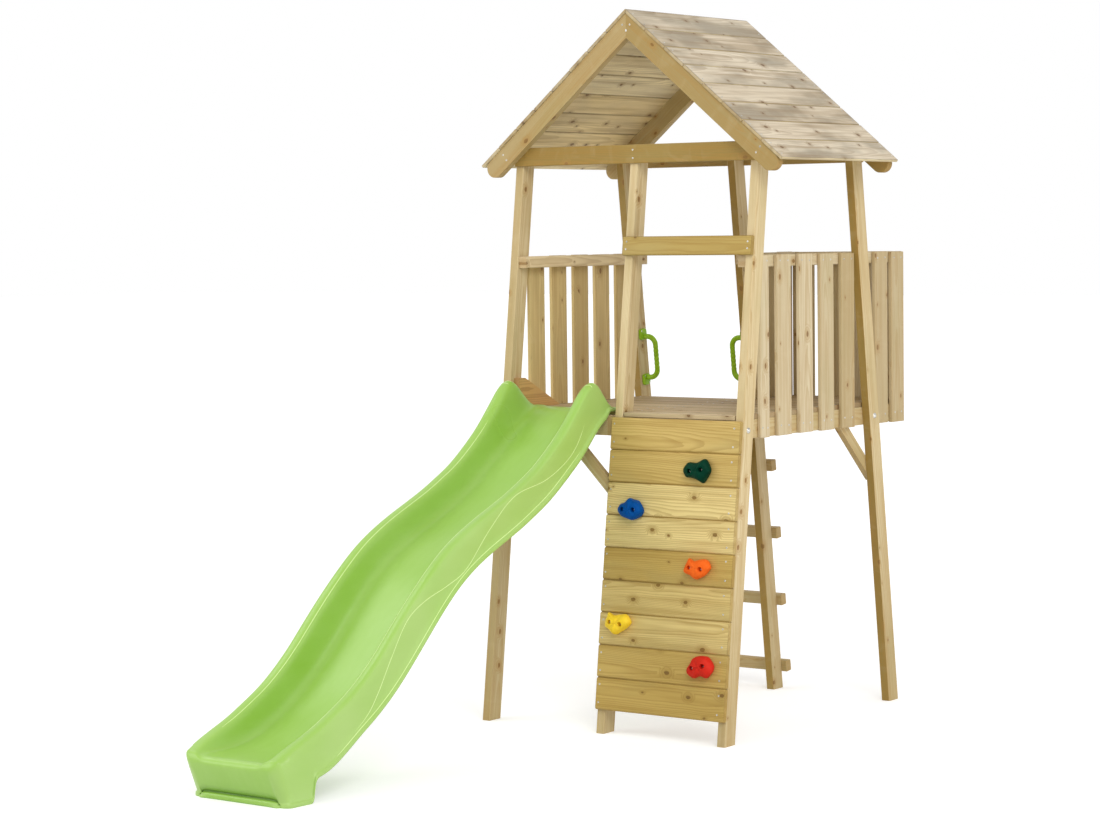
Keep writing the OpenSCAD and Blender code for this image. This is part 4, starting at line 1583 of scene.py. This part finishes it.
@dataclass
class ClimbingHolds:
    """Lumpy moulded holds on the climbing wall, each with two recessed bolts."""

    bolt_finish: SteelFinish
    holds: tuple[Hold, ...] = HOLDS
    crown: tuple[Pair, ...] = (
        (0.94, 0.0), (0.985, 0.05), (1.0, 0.15), (0.985, 0.36), (0.93, 0.56), (0.84, 0.73),
        (0.7, 0.86), (0.52, 0.94), (0.3, 0.985), (0.1, 1.0),
    )
    unit: float = 0.001
    outline_steps: int = 4
    smoothing: int = 2
    # Lumps and lean of the crown
    lump: float = 0.006
    lump_scale: float = 28.0
    lump_apart: float = 7.0
    lean: float = 0.012
    # Bolts and their recesses
    bolt_apart: float = 0.049
    recess: float = 0.0085
    recess_flare: float = 1.25
    recess_straight: float = 0.2
    recess_sides: int = 32
    seat: float = 0.52
    bolt: tuple[Pair, ...] = (
        (0.0047, 0.0), (0.005, 0.0018), (0.0044, 0.0036), (0.0034, 0.0043), (0.0028, 0.0043),
        (0.0026, 0.0023), (0.0004, 0.0019),
    )
    bolt_sides: int = 24

    def build(self) -> None:
        """Make all the holds and their bolts."""
        bolts = bmesh.new()
        for seed, hold in enumerate(self.holds):
            self.build_hold(hold, seed, bolts)
        add_piece("hold_bolts", bolts, self.bolt_finish)

    def build_hold(self, hold: Hold, seed: int, bolts: bmesh.types.BMesh) -> None:
        """Make one hold.

        Args:
            hold: What sets the hold apart.
            seed: Number that sets its lumps apart.
            bolts: Mesh that its bolts are added to.
        """
        node = f"hold_{hold.name}"
        across, up, out = FRONT.spans([v.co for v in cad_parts[node].data.vertices])
        deep = out[1] - out[0]
        middle = (sum(across) / 2, sum(up) / 2)
        place = FRONT.place(*middle, out[0])
        level = [Vector((x * self.unit, y * self.unit, 0.0)) for x, y in hold.outline]
        outline = curve_through(level, self.outline_steps, closed=True)
        if outline[0].cross(outline[1]).z < 0:
            outline.reverse()
        away = Vector((self.lump_apart * seed, 0.0, 0.0))
        loops = []
        for share, height in self.crown:
            loop = []
            for spot in outline:
                at = Vector((spot.x, spot.y, height * deep)) * self.lump_scale + away
                rough = self.lump * noise.noise(at)
                swell = 1 + rough / max(spot.length, deep)
                drop = (rough - self.lump / 2) * height * height
                loop.append(place @ Vector((
                    spot.x * share * swell + self.lean * (height - 0.5), spot.y * share * swell,
                    height * deep + min(0.0, drop),
                )))
            loops.append(loop)
        bm = bmesh.new()
        stitch(bm, loops)
        finish = PlasticFinish(
            node, hold.colour, hold.pale, rough=0.4, mottle=0.4, mottle_scale=38.0,
            skin_scale=900.0, skin_depth=0.0005, gloss=0.04,
        )
        piece = add_piece(f"{node}_lump", bm, finish)
        add_rounding(piece, self.smoothing)
        self.drill(piece, (*middle, out[0]), deep, math.radians(hold.tilt), bolts)
        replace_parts(piece, node)

    def drill(
        self,
        piece: bpy.types.Object,
        foot: Triple,
        deep: float,
        tilt: float,
        bolts: bmesh.types.BMesh,
    ) -> None:
        """Sink the two bolts of a hold.

        Args:
            piece: The hold.
            foot: Its foot's place along the wall, up it and out of it.
            deep: Its depth.
            tilt: Turn of the line through its bolts.
            bolts: Mesh that the bolts are added to.
        """
        cutter_mesh = bmesh.new()
        straight, mouth = self.recess_straight * deep, self.recess_flare * self.recess
        bore = ((self.recess, 0.0), (self.recess, straight), (mouth, deep))
        for way in (-1, 1):
            arm = way * self.bolt_apart / 2
            x = foot[0] + arm * math.cos(tilt) + self.lean * (self.seat - 0.5)
            y = foot[1] + arm * math.sin(tilt)
            seat = FRONT.place(x, y, foot[2] + self.seat * deep, way * tilt)
            turned(cutter_mesh, seat, bore, self.recess_sides)
            turned(bolts, seat, self.bolt, self.bolt_sides)
        cutter = new_object("hold_recess", mesh_of("hold_recess", cutter_mesh))
        hole = piece.modifiers.new("recess", "BOOLEAN")
        hole.object = cutter
        hole.solver = "EXACT"
        settle(piece)
        bpy.data.objects.remove(cutter)
        piece.data.set_sharp_from_angle(angle=SHARP_EDGE)


@dataclass
class GrabHandles:
    """Moulded grab handles on the back posts, with waved grips and screwed feet."""

    finish: PlasticFinish
    screw_finish: SteelFinish
    apart: float = 0.168
    reach: float = 0.063
    bar: float = 0.0106
    bar_sides: int = 18
    bend: float = 0.035
    bend_step: int = 10
    grip_steps: int = 48
    # Wave of the grip
    wave: float = 0.0012
    wave_long: float = 0.017
    # Feet and screws
    foot: float = 0.022
    foot_past: float = 0.009
    foot_high: float = 0.011
    foot_sides: int = 40
    foot_square: float = 5.0
    foot_profile: tuple[Pair, ...] = (
        (1.0, 0.0), (1.0, 0.7), (0.97, 0.9), (0.88, 1.0), (0.1, 1.0),
    )
    screw: float = 0.0038
    screw_in: float = 0.0145
    screw_turn: float = 0.4

    def build(self) -> None:
        """Make both handles and their screws."""
        screws = bmesh.new()
        for node, way in (("handle_left", 1.0), ("handle_right", -1.0)):
            along = (0.0, way * math.cos(LEAN), way * math.sin(LEAN))
            self.build_handle(node, Side(along, Grain.BACK_POST.value), screws)
        add_piece("handle_screws", screws, self.screw_finish)

    def bow(self) -> list[Vector]:
        """Draw the handle's middle line.

        Returns:
            Its points, up along y and out along z.
        """
        half = self.apart / 2
        near = [(-half, self.foot_high / 2)]
        for a in (math.radians(degrees) for degrees in range(0, 91, self.bend_step)):
            up = -half + self.bend * (1 - math.cos(a))
            near.append((up, self.reach - self.bend + self.bend * math.sin(a)))
        grip = half - self.bend
        count = self.grip_steps
        level = [(-grip + 2 * grip * i / count, self.reach) for i in range(1, count)]
        far = [(-y, z) for y, z in reversed(near)]
        return [Vector((0.0, y, z)) for y, z in near + level + far]

    def build_handle(self, node: str, side: Side, screws: bmesh.types.BMesh) -> None:
        """Make one handle.

        Args:
            node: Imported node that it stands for.
            side: Directions of the post's face that it is screwed to.
            screws: Mesh that its screws are added to.
        """
        along, up, out = side.spans([v.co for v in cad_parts[node].data.vertices])
        middle = (sum(along) / 2, sum(up) / 2)
        place = side.place(*middle, out[0])
        path = self.bow()
        grip = self.apart / 2 - self.bend
        radii = []
        for spot in path:
            hold = smooth_step((grip - abs(spot.y)) / self.bar + 0.5)
            ripple = 0.5 + 0.5 * math.cos(2 * math.pi * spot.y / self.wave_long)
            radii.append(self.bar - self.wave * hold * ripple)
        bm = bmesh.new()
        sweep(bm, [place @ spot for spot in path], radii, self.bar_sides)
        plate = [(self.foot * r, self.foot_high * h) for r, h in self.foot_profile]
        for way in (-1, 1):
            height = middle[1] + way * (self.apart / 2 + self.foot_past)
            rest = side.place(middle[0], height, out[0])
            turned(bm, rest, plate, self.foot_sides, self.foot_square)
            for arm in (-self.screw_in, self.screw_in):
                spot = side.place(
                    middle[0] + arm, height - arm, out[0] + self.foot_high, way * self.screw_turn
                )
                screw_head(screws, spot, self.screw)
        piece = add_piece(f"{node}_grip", bm, self.finish)
        piece.data.set_sharp_from_angle(angle=SHARP_EDGE)
        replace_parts(piece, node)


SCREW_DOME: tuple[Pair, ...] = ((1.0, -0.12), (1.0, 0.06), (0.9, 0.16), (0.72, 0.22))
SCREW_CROSS: tuple[Pair, ...] = ((0.5, -0.13), (0.5, 0.13), (0.13, 0.13))
SCREW_RECESS: tuple[Pair, ...] = ((0.24, 1.0), (-0.08, 0.8))
SCREW_CORNERS = tuple(math.radians(degrees) for degrees in range(-15, 345, 30))
QUARTER_TURNS = ((1, 0), (0, 1), (-1, 0), (0, -1))


def screw_head(bm: bmesh.types.BMesh, place: Matrix, radius: float) -> None:
    """Add a low domed screw head with a cross recess.

    Args:
        bm: Mesh to add to.
        place: Middle of the head on its face, with z pointing out.
        radius: Radius of the head.
    """
    loops = [
        [place @ (radius * Vector((r * math.cos(a), r * math.sin(a), h))) for a in SCREW_CORNERS]
        for r, h in SCREW_DOME
    ]
    for height, size in SCREW_RECESS:
        loop = []
        for c, n in QUARTER_TURNS:
            for x, y in SCREW_CROSS:
                spot = Vector((size * (x * c - y * n), size * (x * n + y * c), height))
                loop.append(place @ (radius * spot))
        loops.append(loop)
    stitch(bm, loops)


@dataclass(frozen=True)
class ScrewRow:
    """Where the boards of some nodes are screwed down."""

    nodes: tuple[str, ...]
    side: Side
    ends: Pair | None = None
    at: tuple[float, ...] = ()
    shares: Pair = (0.22, 0.78)
    sunk: float = 0.0
    stray: float = 0.002

    def places(self, rng: random.Random) -> Iterator[Matrix]:
        """Give each screw's place, a little off its mark.

        Args:
            rng: Source of chance.

        Returns:
            The places one by one.
        """
        for node in self.nodes:
            for corners in boards(node):
                along, up, out = self.side.spans(corners)
                spots = list(self.at)
                if self.ends:
                    spots += [along[0] + self.ends[0], along[1] - self.ends[1]]
                for spot in spots:
                    for share in self.shares:
                        yield self.side.place(
                            spot + rng.uniform(-self.stray, self.stray),
                            up[0] + share * (up[1] - up[0]) + rng.uniform(-self.stray, self.stray),
                            out[1] - self.sunk, rng.uniform(0.0, math.pi),
                        )


@dataclass
class Fasteners:
    """Small screws that hold boards and slats."""

    finish: SteelFinish
    radius: float = 0.0037
    seed: int = 5
    wall_ends: Pair = (0.014, 0.028)
    slat_ends: Pair = (0.036, 0.024)
    beam_ends: Pair = (0.018, 0.018)
    rafter_ends: Pair = (0.04, 0.1)
    beam_shares: Pair = (0.3, 0.7)

    def wall_rows(self) -> list[ScrewRow]:
        """Lay out the screws of the climbing wall.

        Returns:
            The rows of the wall boards and of the lintel.
        """
        return [
            ScrewRow(WALL_BOARDS, FRONT, self.wall_ends),
            ScrewRow(("lintel",), FRONT, self.beam_ends, shares=self.beam_shares),
        ]

    def railing_rows(self) -> list[ScrewRow]:
        """Lay out the screws of the railings.

        Returns:
            A row for each group of slats.
        """
        ends = self.slat_ends
        return [
            ScrewRow(("slats_right",), Side(UPWARDS, TO_FRONT), ends),
            ScrewRow(("slats_left",), Side(UPWARDS, TO_BACK), ends),
            ScrewRow(("slats_balcony_side",), Side(UPWARDS, TO_BACK), ends),
            ScrewRow(("slats_balcony_back",), Side(UPWARDS, TO_RIGHT), ends, sunk=BACK_INSET),
        ]

    def roof_rows(self) -> list[ScrewRow]:
        """Lay out the screws of the roof boards, over the rafters.

        Returns:
            A row for each slope.
        """
        inward = middle_of("rafter_front_left", 1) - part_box("roof_boards_left")[0][1]
        rows = []
        for name, way in (("right", 1), ("left", -1)):
            up = (-math.cos(ROOF_PITCH), 0.0, way * math.sin(ROOF_PITCH))
            rows.append(ScrewRow((f"roof_boards_{name}",), Side(TO_BACK, up), (inward, inward)))
        return rows

    def deck_rows(self) -> list[ScrewRow]:
        """Lay out the screws of the deck, over the joists.

        Returns:
            The rows of the deck's and of the balcony's boards.
        """
        top = Side(TO_RIGHT, TO_BACK)
        rows = []
        for node, joists in (("deck_boards", JOISTS), ("balcony_boards", BALCONY_JOISTS)):
            beams = tuple(middle_of(joist, 0) for joist in joists)
            rows.append(ScrewRow((node,), top, at=beams))
        return rows

    def frame_rows(self) -> list[ScrewRow]:
        """Lay out the screws of the top frame and the ladder.

        Returns:
            The rows of the tie beams, the rungs and the front rafters.
        """
        shares, back_post = self.beam_shares, Grain.BACK_POST.value
        rows = [
            ScrewRow(("tie_front",), Side(TO_RIGHT, UPWARDS), at=(0.0,), shares=shares),
            ScrewRow(("tie_back",), Side(TO_LEFT, UPWARDS), at=(0.0,), shares=shares),
            ScrewRow(RUNGS, Side(TO_LEFT, back_post), self.beam_ends, shares=shares),
        ]
        c, n = math.cos(ROOF_PITCH), math.sin(ROOF_PITCH)
        for name, way in (("right", 1), ("left", -1)):
            face, ends = Side((c, 0.0, -way * n), (way * n, 0.0, c)), self.rafter_ends[::way]
            rows.append(ScrewRow((f"rafter_front_{name}",), face, ends, shares=shares))
        return rows

    def build(self) -> None:
        """Make the screws, one mesh for each sub-assembly."""
        rng = random.Random(self.seed)
        rows_by_title = {
            "wall": self.wall_rows(),
            "railing": self.railing_rows(),
            "roof": self.roof_rows(),
            "deck": self.deck_rows(),
            "frame": self.frame_rows(),
        }
        for title, rows in rows_by_title.items():
            bm = bmesh.new()
            for row in rows:
                for place in row.places(rng):
                    screw_head(bm, place, self.radius)
            add_piece(f"{title}_screws", bm, self.finish)


@dataclass(frozen=True)
class Lamp:
    """One large soft lamp."""

    name: str
    place: Triple
    aim: Triple
    size: float
    power: float

    def build(self) -> None:
        """Hang the lamp and point it."""
        lamp = bpy.data.lights.new(self.name, "AREA")
        lamp.shape = "DISK"
        lamp.size = self.size
        lamp.energy = self.power
        holder = new_object(self.name, lamp)
        holder.location = self.place
        aim = Vector(self.aim) - Vector(self.place)
        holder.rotation_euler = aim.to_track_quat("-Z", "Y").to_euler()


@dataclass
class Studio:
    """Pale floor, soft lamps and the camera."""

    # Floor and sky
    floor_reach: float = 60.0
    floor_cells: int = 8
    floor_colour: Colour = (0.82, 0.82, 0.82, 1.0)
    floor_glow: Pair = (0.37, 0.53)
    glow_from: Pair = (2.0, 8.0)
    sky: float = 0.75
    sky_seen: float = 1.0
    # Camera
    eye: Triple = (6.0051, -8.3162, 1.8534)
    yaw: float = math.radians(-36.2031)
    pitch: float = math.radians(3.6313)
    roll: float = math.radians(-0.7086)
    lens: float = 92.9
    sensor: float = 36.0
    # Lamps
    lamps: tuple[Lamp, ...] = (
        Lamp("key_lamp", (6.0, -5.2, 7.0), (0.0, 0.2, 1.2), 5.0, 350.0),
        Lamp("fill_lamp", (-5.5, -6.5, 4.0), (0.0, 0.2, 1.2), 5.0, 150.0),
        Lamp("low_lamp", (4.8, 0.4, 0.6), (-0.3, 0.6, 2.3), 2.4, 50.0),
        Lamp("bed_lamp", (-4.2, -1.3, 5.1), (-0.33, -0.9, 0.5), 2.0, 28.0),
    )

    def build(self) -> None:
        """Make the floor, the sky, the lamps and the camera."""
        self.build_floor()
        self.build_sky()
        for lamp in self.lamps:
            lamp.build()
        self.build_camera()
        bpy.context.scene.view_settings.view_transform = "Standard"

    def build_floor(self) -> None:
        """Make the floor, white to the camera except in the shadow."""
        bm = bmesh.new()
        cells = self.floor_cells
        bmesh.ops.create_grid(bm, x_segments=cells, y_segments=cells, size=self.floor_reach)
        mesh = mesh_of("floor", bm)
        floor = new_object("floor", mesh)
        w = Wiring.of_material("floor_white")
        matt = w.node("ShaderNodeBsdfDiffuse", {"Color": self.floor_colour}).outputs[0]
        far = w.length(w.node("ShaderNodeNewGeometry").outputs["Position"])
        strength = w.span(far, *self.glow_from, self.floor_glow)
        glow = w.node("ShaderNodeEmission", {"Color": WHITE, "Strength": strength}).outputs[0]
        both = w.node("ShaderNodeAddShader", {0: matt, 1: glow}).outputs[0]
        pick = w.node("ShaderNodeMixShader", {0: w.seen(), 1: matt, 2: both}).outputs[0]
        w.node("ShaderNodeOutputMaterial", {0: pick})
        mesh.materials.append(w.owner)

    def build_sky(self) -> None:
        """Make a plain sky that is white to the camera and in reflections."""
        world = bpy.data.worlds.new("studio_sky")
        bpy.context.scene.world = world
        w = Wiring(world)
        light, white = (
            w.node("ShaderNodeBackground", {"Color": WHITE, "Strength": strength}).outputs[0]
            for strength in (self.sky, self.sky_seen)
        )
        pick = w.node("ShaderNodeMixShader", {0: w.seen(), 1: light, 2: white}).outputs[0]
        w.node("ShaderNodeOutputWorld", {0: pick})

    def build_camera(self) -> None:
        """Set the camera to the photograph's place, angle and lens."""
        ahead = Vector((
            math.sin(self.yaw) * math.cos(self.pitch), math.cos(self.yaw) * math.cos(self.pitch),
            -math.sin(self.pitch),
        ))
        right = Vector((math.cos(self.yaw), -math.sin(self.yaw), 0.0))
        up = right.cross(ahead)
        right, up = (
            right * math.cos(self.roll) + up * math.sin(self.roll),
            up * math.cos(self.roll) - right * math.sin(self.roll),
        )
        lens = bpy.data.cameras.new("photo_camera")
        lens.lens = self.lens
        lens.sensor_width = self.sensor
        lens.sensor_fit = "HORIZONTAL"
        camera = new_object("photo_camera", lens)
        turn = Matrix((right, up, -ahead)).transposed().to_4x4()
        camera.matrix_world = Matrix.Translation(self.eye) @ turn
        bpy.context.scene.camera = camera


# The posts get painted shade towards the ground
POSTS = WoodFinish(
    "frame_timber", "#ddcba0", "#8f7430", "#a97f3e", "#a08f55", "#c9b27c", rim_share=0.3,
    rim_wide=0.003, low_shade=0.3,
)
# Copies of the posts' finish with painted shade, partly heartwood brown, on one face
BACK_POSTS = replace(POSTS, heart_and_shade=1.0)
LEFT_POST = replace(POSTS, heart_and_shade=0.35)
# The deck's dark rims are painted shade between its boards, and soil
DECK = WoodFinish(
    "deck_wood", "#e0cca2", "#a58c63", "#94744a", "#8f8468", "#4e3c24", contrast=0.3,
    rim_share=0.95, rim_wide=0.007,
)
WALL = WoodFinish(
    "wall_wood", "#e6cf8e", "#bf9f52", "#9a7836", "#a99a63", "#6f5526", knots=0.4, contrast=0.42,
    streaks=0.4, rim_share=0.65, figure=0.0, barrel=2.4,
)
LINTEL = replace(WALL, pale="#b79d58", deep="#ab914e", barrel=0.0, knots=0.5)
RAILING = WoodFinish(
    "railing_wood", "#d3c4a2", "#b9a67d", "#a88450", "#a8996a", "#a1844f", rim_share=0.35,
)
# Copies of the railing's finish: a paler one paints light on the left rail, a yellower one paints
# shade on the left slats
LEFT_RAIL_PAINTED_LIGHT = replace(RAILING, pale="#ecdab2", deep="#e2cea4")
LEFT_SLATS_PAINTED_SHADE = replace(RAILING, pale="#dcc58b", deep="#c8b077")
# The very pale base shows on the underside as painted light in place of light from below; the
# upward faces are weathered grey
ROOF = WoodFinish(
    "roof_wood", "#f0e0b4", "#e0c890", "#8e7350", "#9a9080", "#4f4030", knots=0.62, contrast=0.3,
    blotch=0.25, streaks=0.45, rim_share=0.75, rim_wide=0.006, weather="#dccfba", weathered=0.85,
    barrel=3.0,
)
WEDGE = WoodFinish("wedge_wood", "#d6ad6e", "#c2935a", "#8d6032", "#96754c", "#7d5a33", knots=0.2)
STEEL = SteelFinish()
SLIDE = PlasticFinish(
    "slide_plastic", "#94c04a", "#a6cc6a", haze="#b2cd80", haze_share=0.5, rough=0.3,
)
# The raised lines are real; their paler colour is a painted highlight
SLIDE_LINE_HIGHLIGHT = PlasticFinish("slide_plastic", "#cfea94", "#d8eeaa", rough=0.3)
HANDLE = PlasticFinish(
    "handle_plastic", "#8fbf16", "#a2ce3e", mottle_scale=30.0, skin_scale=900.0, gloss=0.25,
)


def post_sets() -> list[TimberSet]:
    """Sort the posts by tone.

    Returns:
        Their sets.
    """
    inner = {f"post_front_{s}": Grain.FRONT_POST for s in ("middle", "right")}
    back = {f"post_back_{s}": Grain.BACK_POST for s in SIDES}
    left = {"post_front_left": Grain.FRONT_POST}
    return [
        TimberSet("pale posts", POSTS, inner, shades=(0.0, 0.12)),
        # The back posts' and the front left post's front faces get painted shade, partly heartwood
        # brown
        TimberSet("back posts", BACK_POSTS, back, shades=(0.1, 0.25), heart_and_shade_way=TO_FRONT),
        # The front left post's pale tone stands in for strong light on its right face: painted
        # light
        TimberSet("front left post", LEFT_POST, left, shades=(0.12, 0.2), heart_and_shade_way=TO_FRONT),
    ]


def frame_sets() -> list[TimberSet]:
    """Sort the deck, what carries it, the ladder and the top frame by tone.

    Returns:
        Their sets.
    """
    under = dict.fromkeys(JOISTS, Grain.DEEP)
    under |= dict.fromkeys(("fascia_slide", "fascia_balcony"), Grain.ACROSS)
    under |= {"brace_front_left": Grain.RISE_RIGHT, "brace_front_middle": Grain.RISE_LEFT}
    under |= {f"brace_back_{s}": Grain.FALL_BACK for s in SIDES}
    under |= dict.fromkeys(RUNGS, Grain.ACROSS)
    top = dict.fromkeys(("tie_front", "tie_back"), Grain.ACROSS)
    top |= dict.fromkeys(("rafter_front_right", "rafter_back_right"), Grain.RAFTER_RIGHT)
    left = dict.fromkeys(("rafter_front_left", "rafter_back_left"), Grain.RAFTER_LEFT)
    deck = dict.fromkeys(("deck_boards", "balcony_boards"), Grain.ACROSS)
    return [
        TimberSet("deck frame and ladder", POSTS, under, shades=(0.2, 0.5)),
        TimberSet("top frame", POSTS, top, shades=(0.8, 1.0)),
        TimberSet("left rafters", POSTS, left, shades=(0.55, 0.65)),
        TimberSet("deck", DECK, deck, shades=(0.35, 1.0), slip=0.001),
        TimberSet("deck front", DECK, {"deck_front_board": Grain.ACROSS}, shades=(0.0, 0.1)),
    ]


def wall_sets() -> list[TimberSet]:
    """Sort the climbing wall's boards by tone, and add the lintel.

    Returns:
        Their sets.
    """
    made = []
    for numbers, shades in WALL_SHADES.items():
        nodes = {f"wall_board_{i}": Grain.ACROSS for i in numbers}
        made.append(TimberSet("climbing wall", WALL, nodes, shades, arris=0.0022, slip=0.001))
    return made + [TimberSet("lintel", LINTEL, {"lintel": Grain.ACROSS})]


def railing_sets() -> list[TimberSet]:
    """Sort the railings by tone.

    Returns:
        Their sets.
    """
    rails = dict.fromkeys(("rail_right", "rail_balcony_side"), Grain.DEEP)
    rails |= {"rail_balcony_back": Grain.ACROSS}
    rails |= dict.fromkeys(("slats_right", "slats_balcony_side"), Grain.UP)
    loose = {"slip": 0.002, "skew": 0.12}
    inset = (0.0, -BACK_INSET, 0.0)
    return [
        TimberSet("railings", RAILING, rails, **loose),
        # The left rail and slats take painted light and painted shade
        TimberSet("left rail", LEFT_RAIL_PAINTED_LIGHT, {"rail_left": Grain.DEEP}, **loose),
        TimberSet("left slats", LEFT_SLATS_PAINTED_SHADE, {"slats_left": Grain.UP}, **loose),
        TimberSet("balcony back", RAILING, {"slats_balcony_back": Grain.UP}, inset=inset, **loose),
    ]


def wooden_sets() -> list[TimberSet]:
    """Sort all the wooden pieces by finish and tone.

    Returns:
        The sets in the order in which they are built.
    """
    roof = dict.fromkeys(("roof_boards_left", "roof_boards_right"), Grain.DEEP)
    return [
        *post_sets(),
        *frame_sets(),
        *wall_sets(),
        *railing_sets(),
        TimberSet("roof", ROOF, roof, arris=0.0018, slip=0.0015),
        TimberSet("wedge", WEDGE, {"wedge_board": Grain.DEEP}),
    ]


def dress_node(node: str, finish: Finish) -> None:
    """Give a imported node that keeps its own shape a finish.

    Args:
        node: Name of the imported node.
        finish: Its finish.
    """
    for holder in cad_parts[node].material_slots:
        holder.material = material_of(finish)
    LOG.info("%s: dressed", node)


def main() -> None:
    """Build the looks, piece by piece."""
    logging.basicConfig(level=logging.INFO, format="%(name)s: %(message)s")
    for wooden in wooden_sets():
        wooden.build()
    WallLips(WALL).build()
    WaveSlide(SLIDE, SLIDE_LINE_HIGHLIGHT).build()
    ClimbingHolds(STEEL).build()
    GrabHandles(HANDLE, STEEL).build()
    Fasteners(STEEL).build()
    dress_node("post_bolts", STEEL)
    Studio().build()


if __name__ == "__main__":
    main()
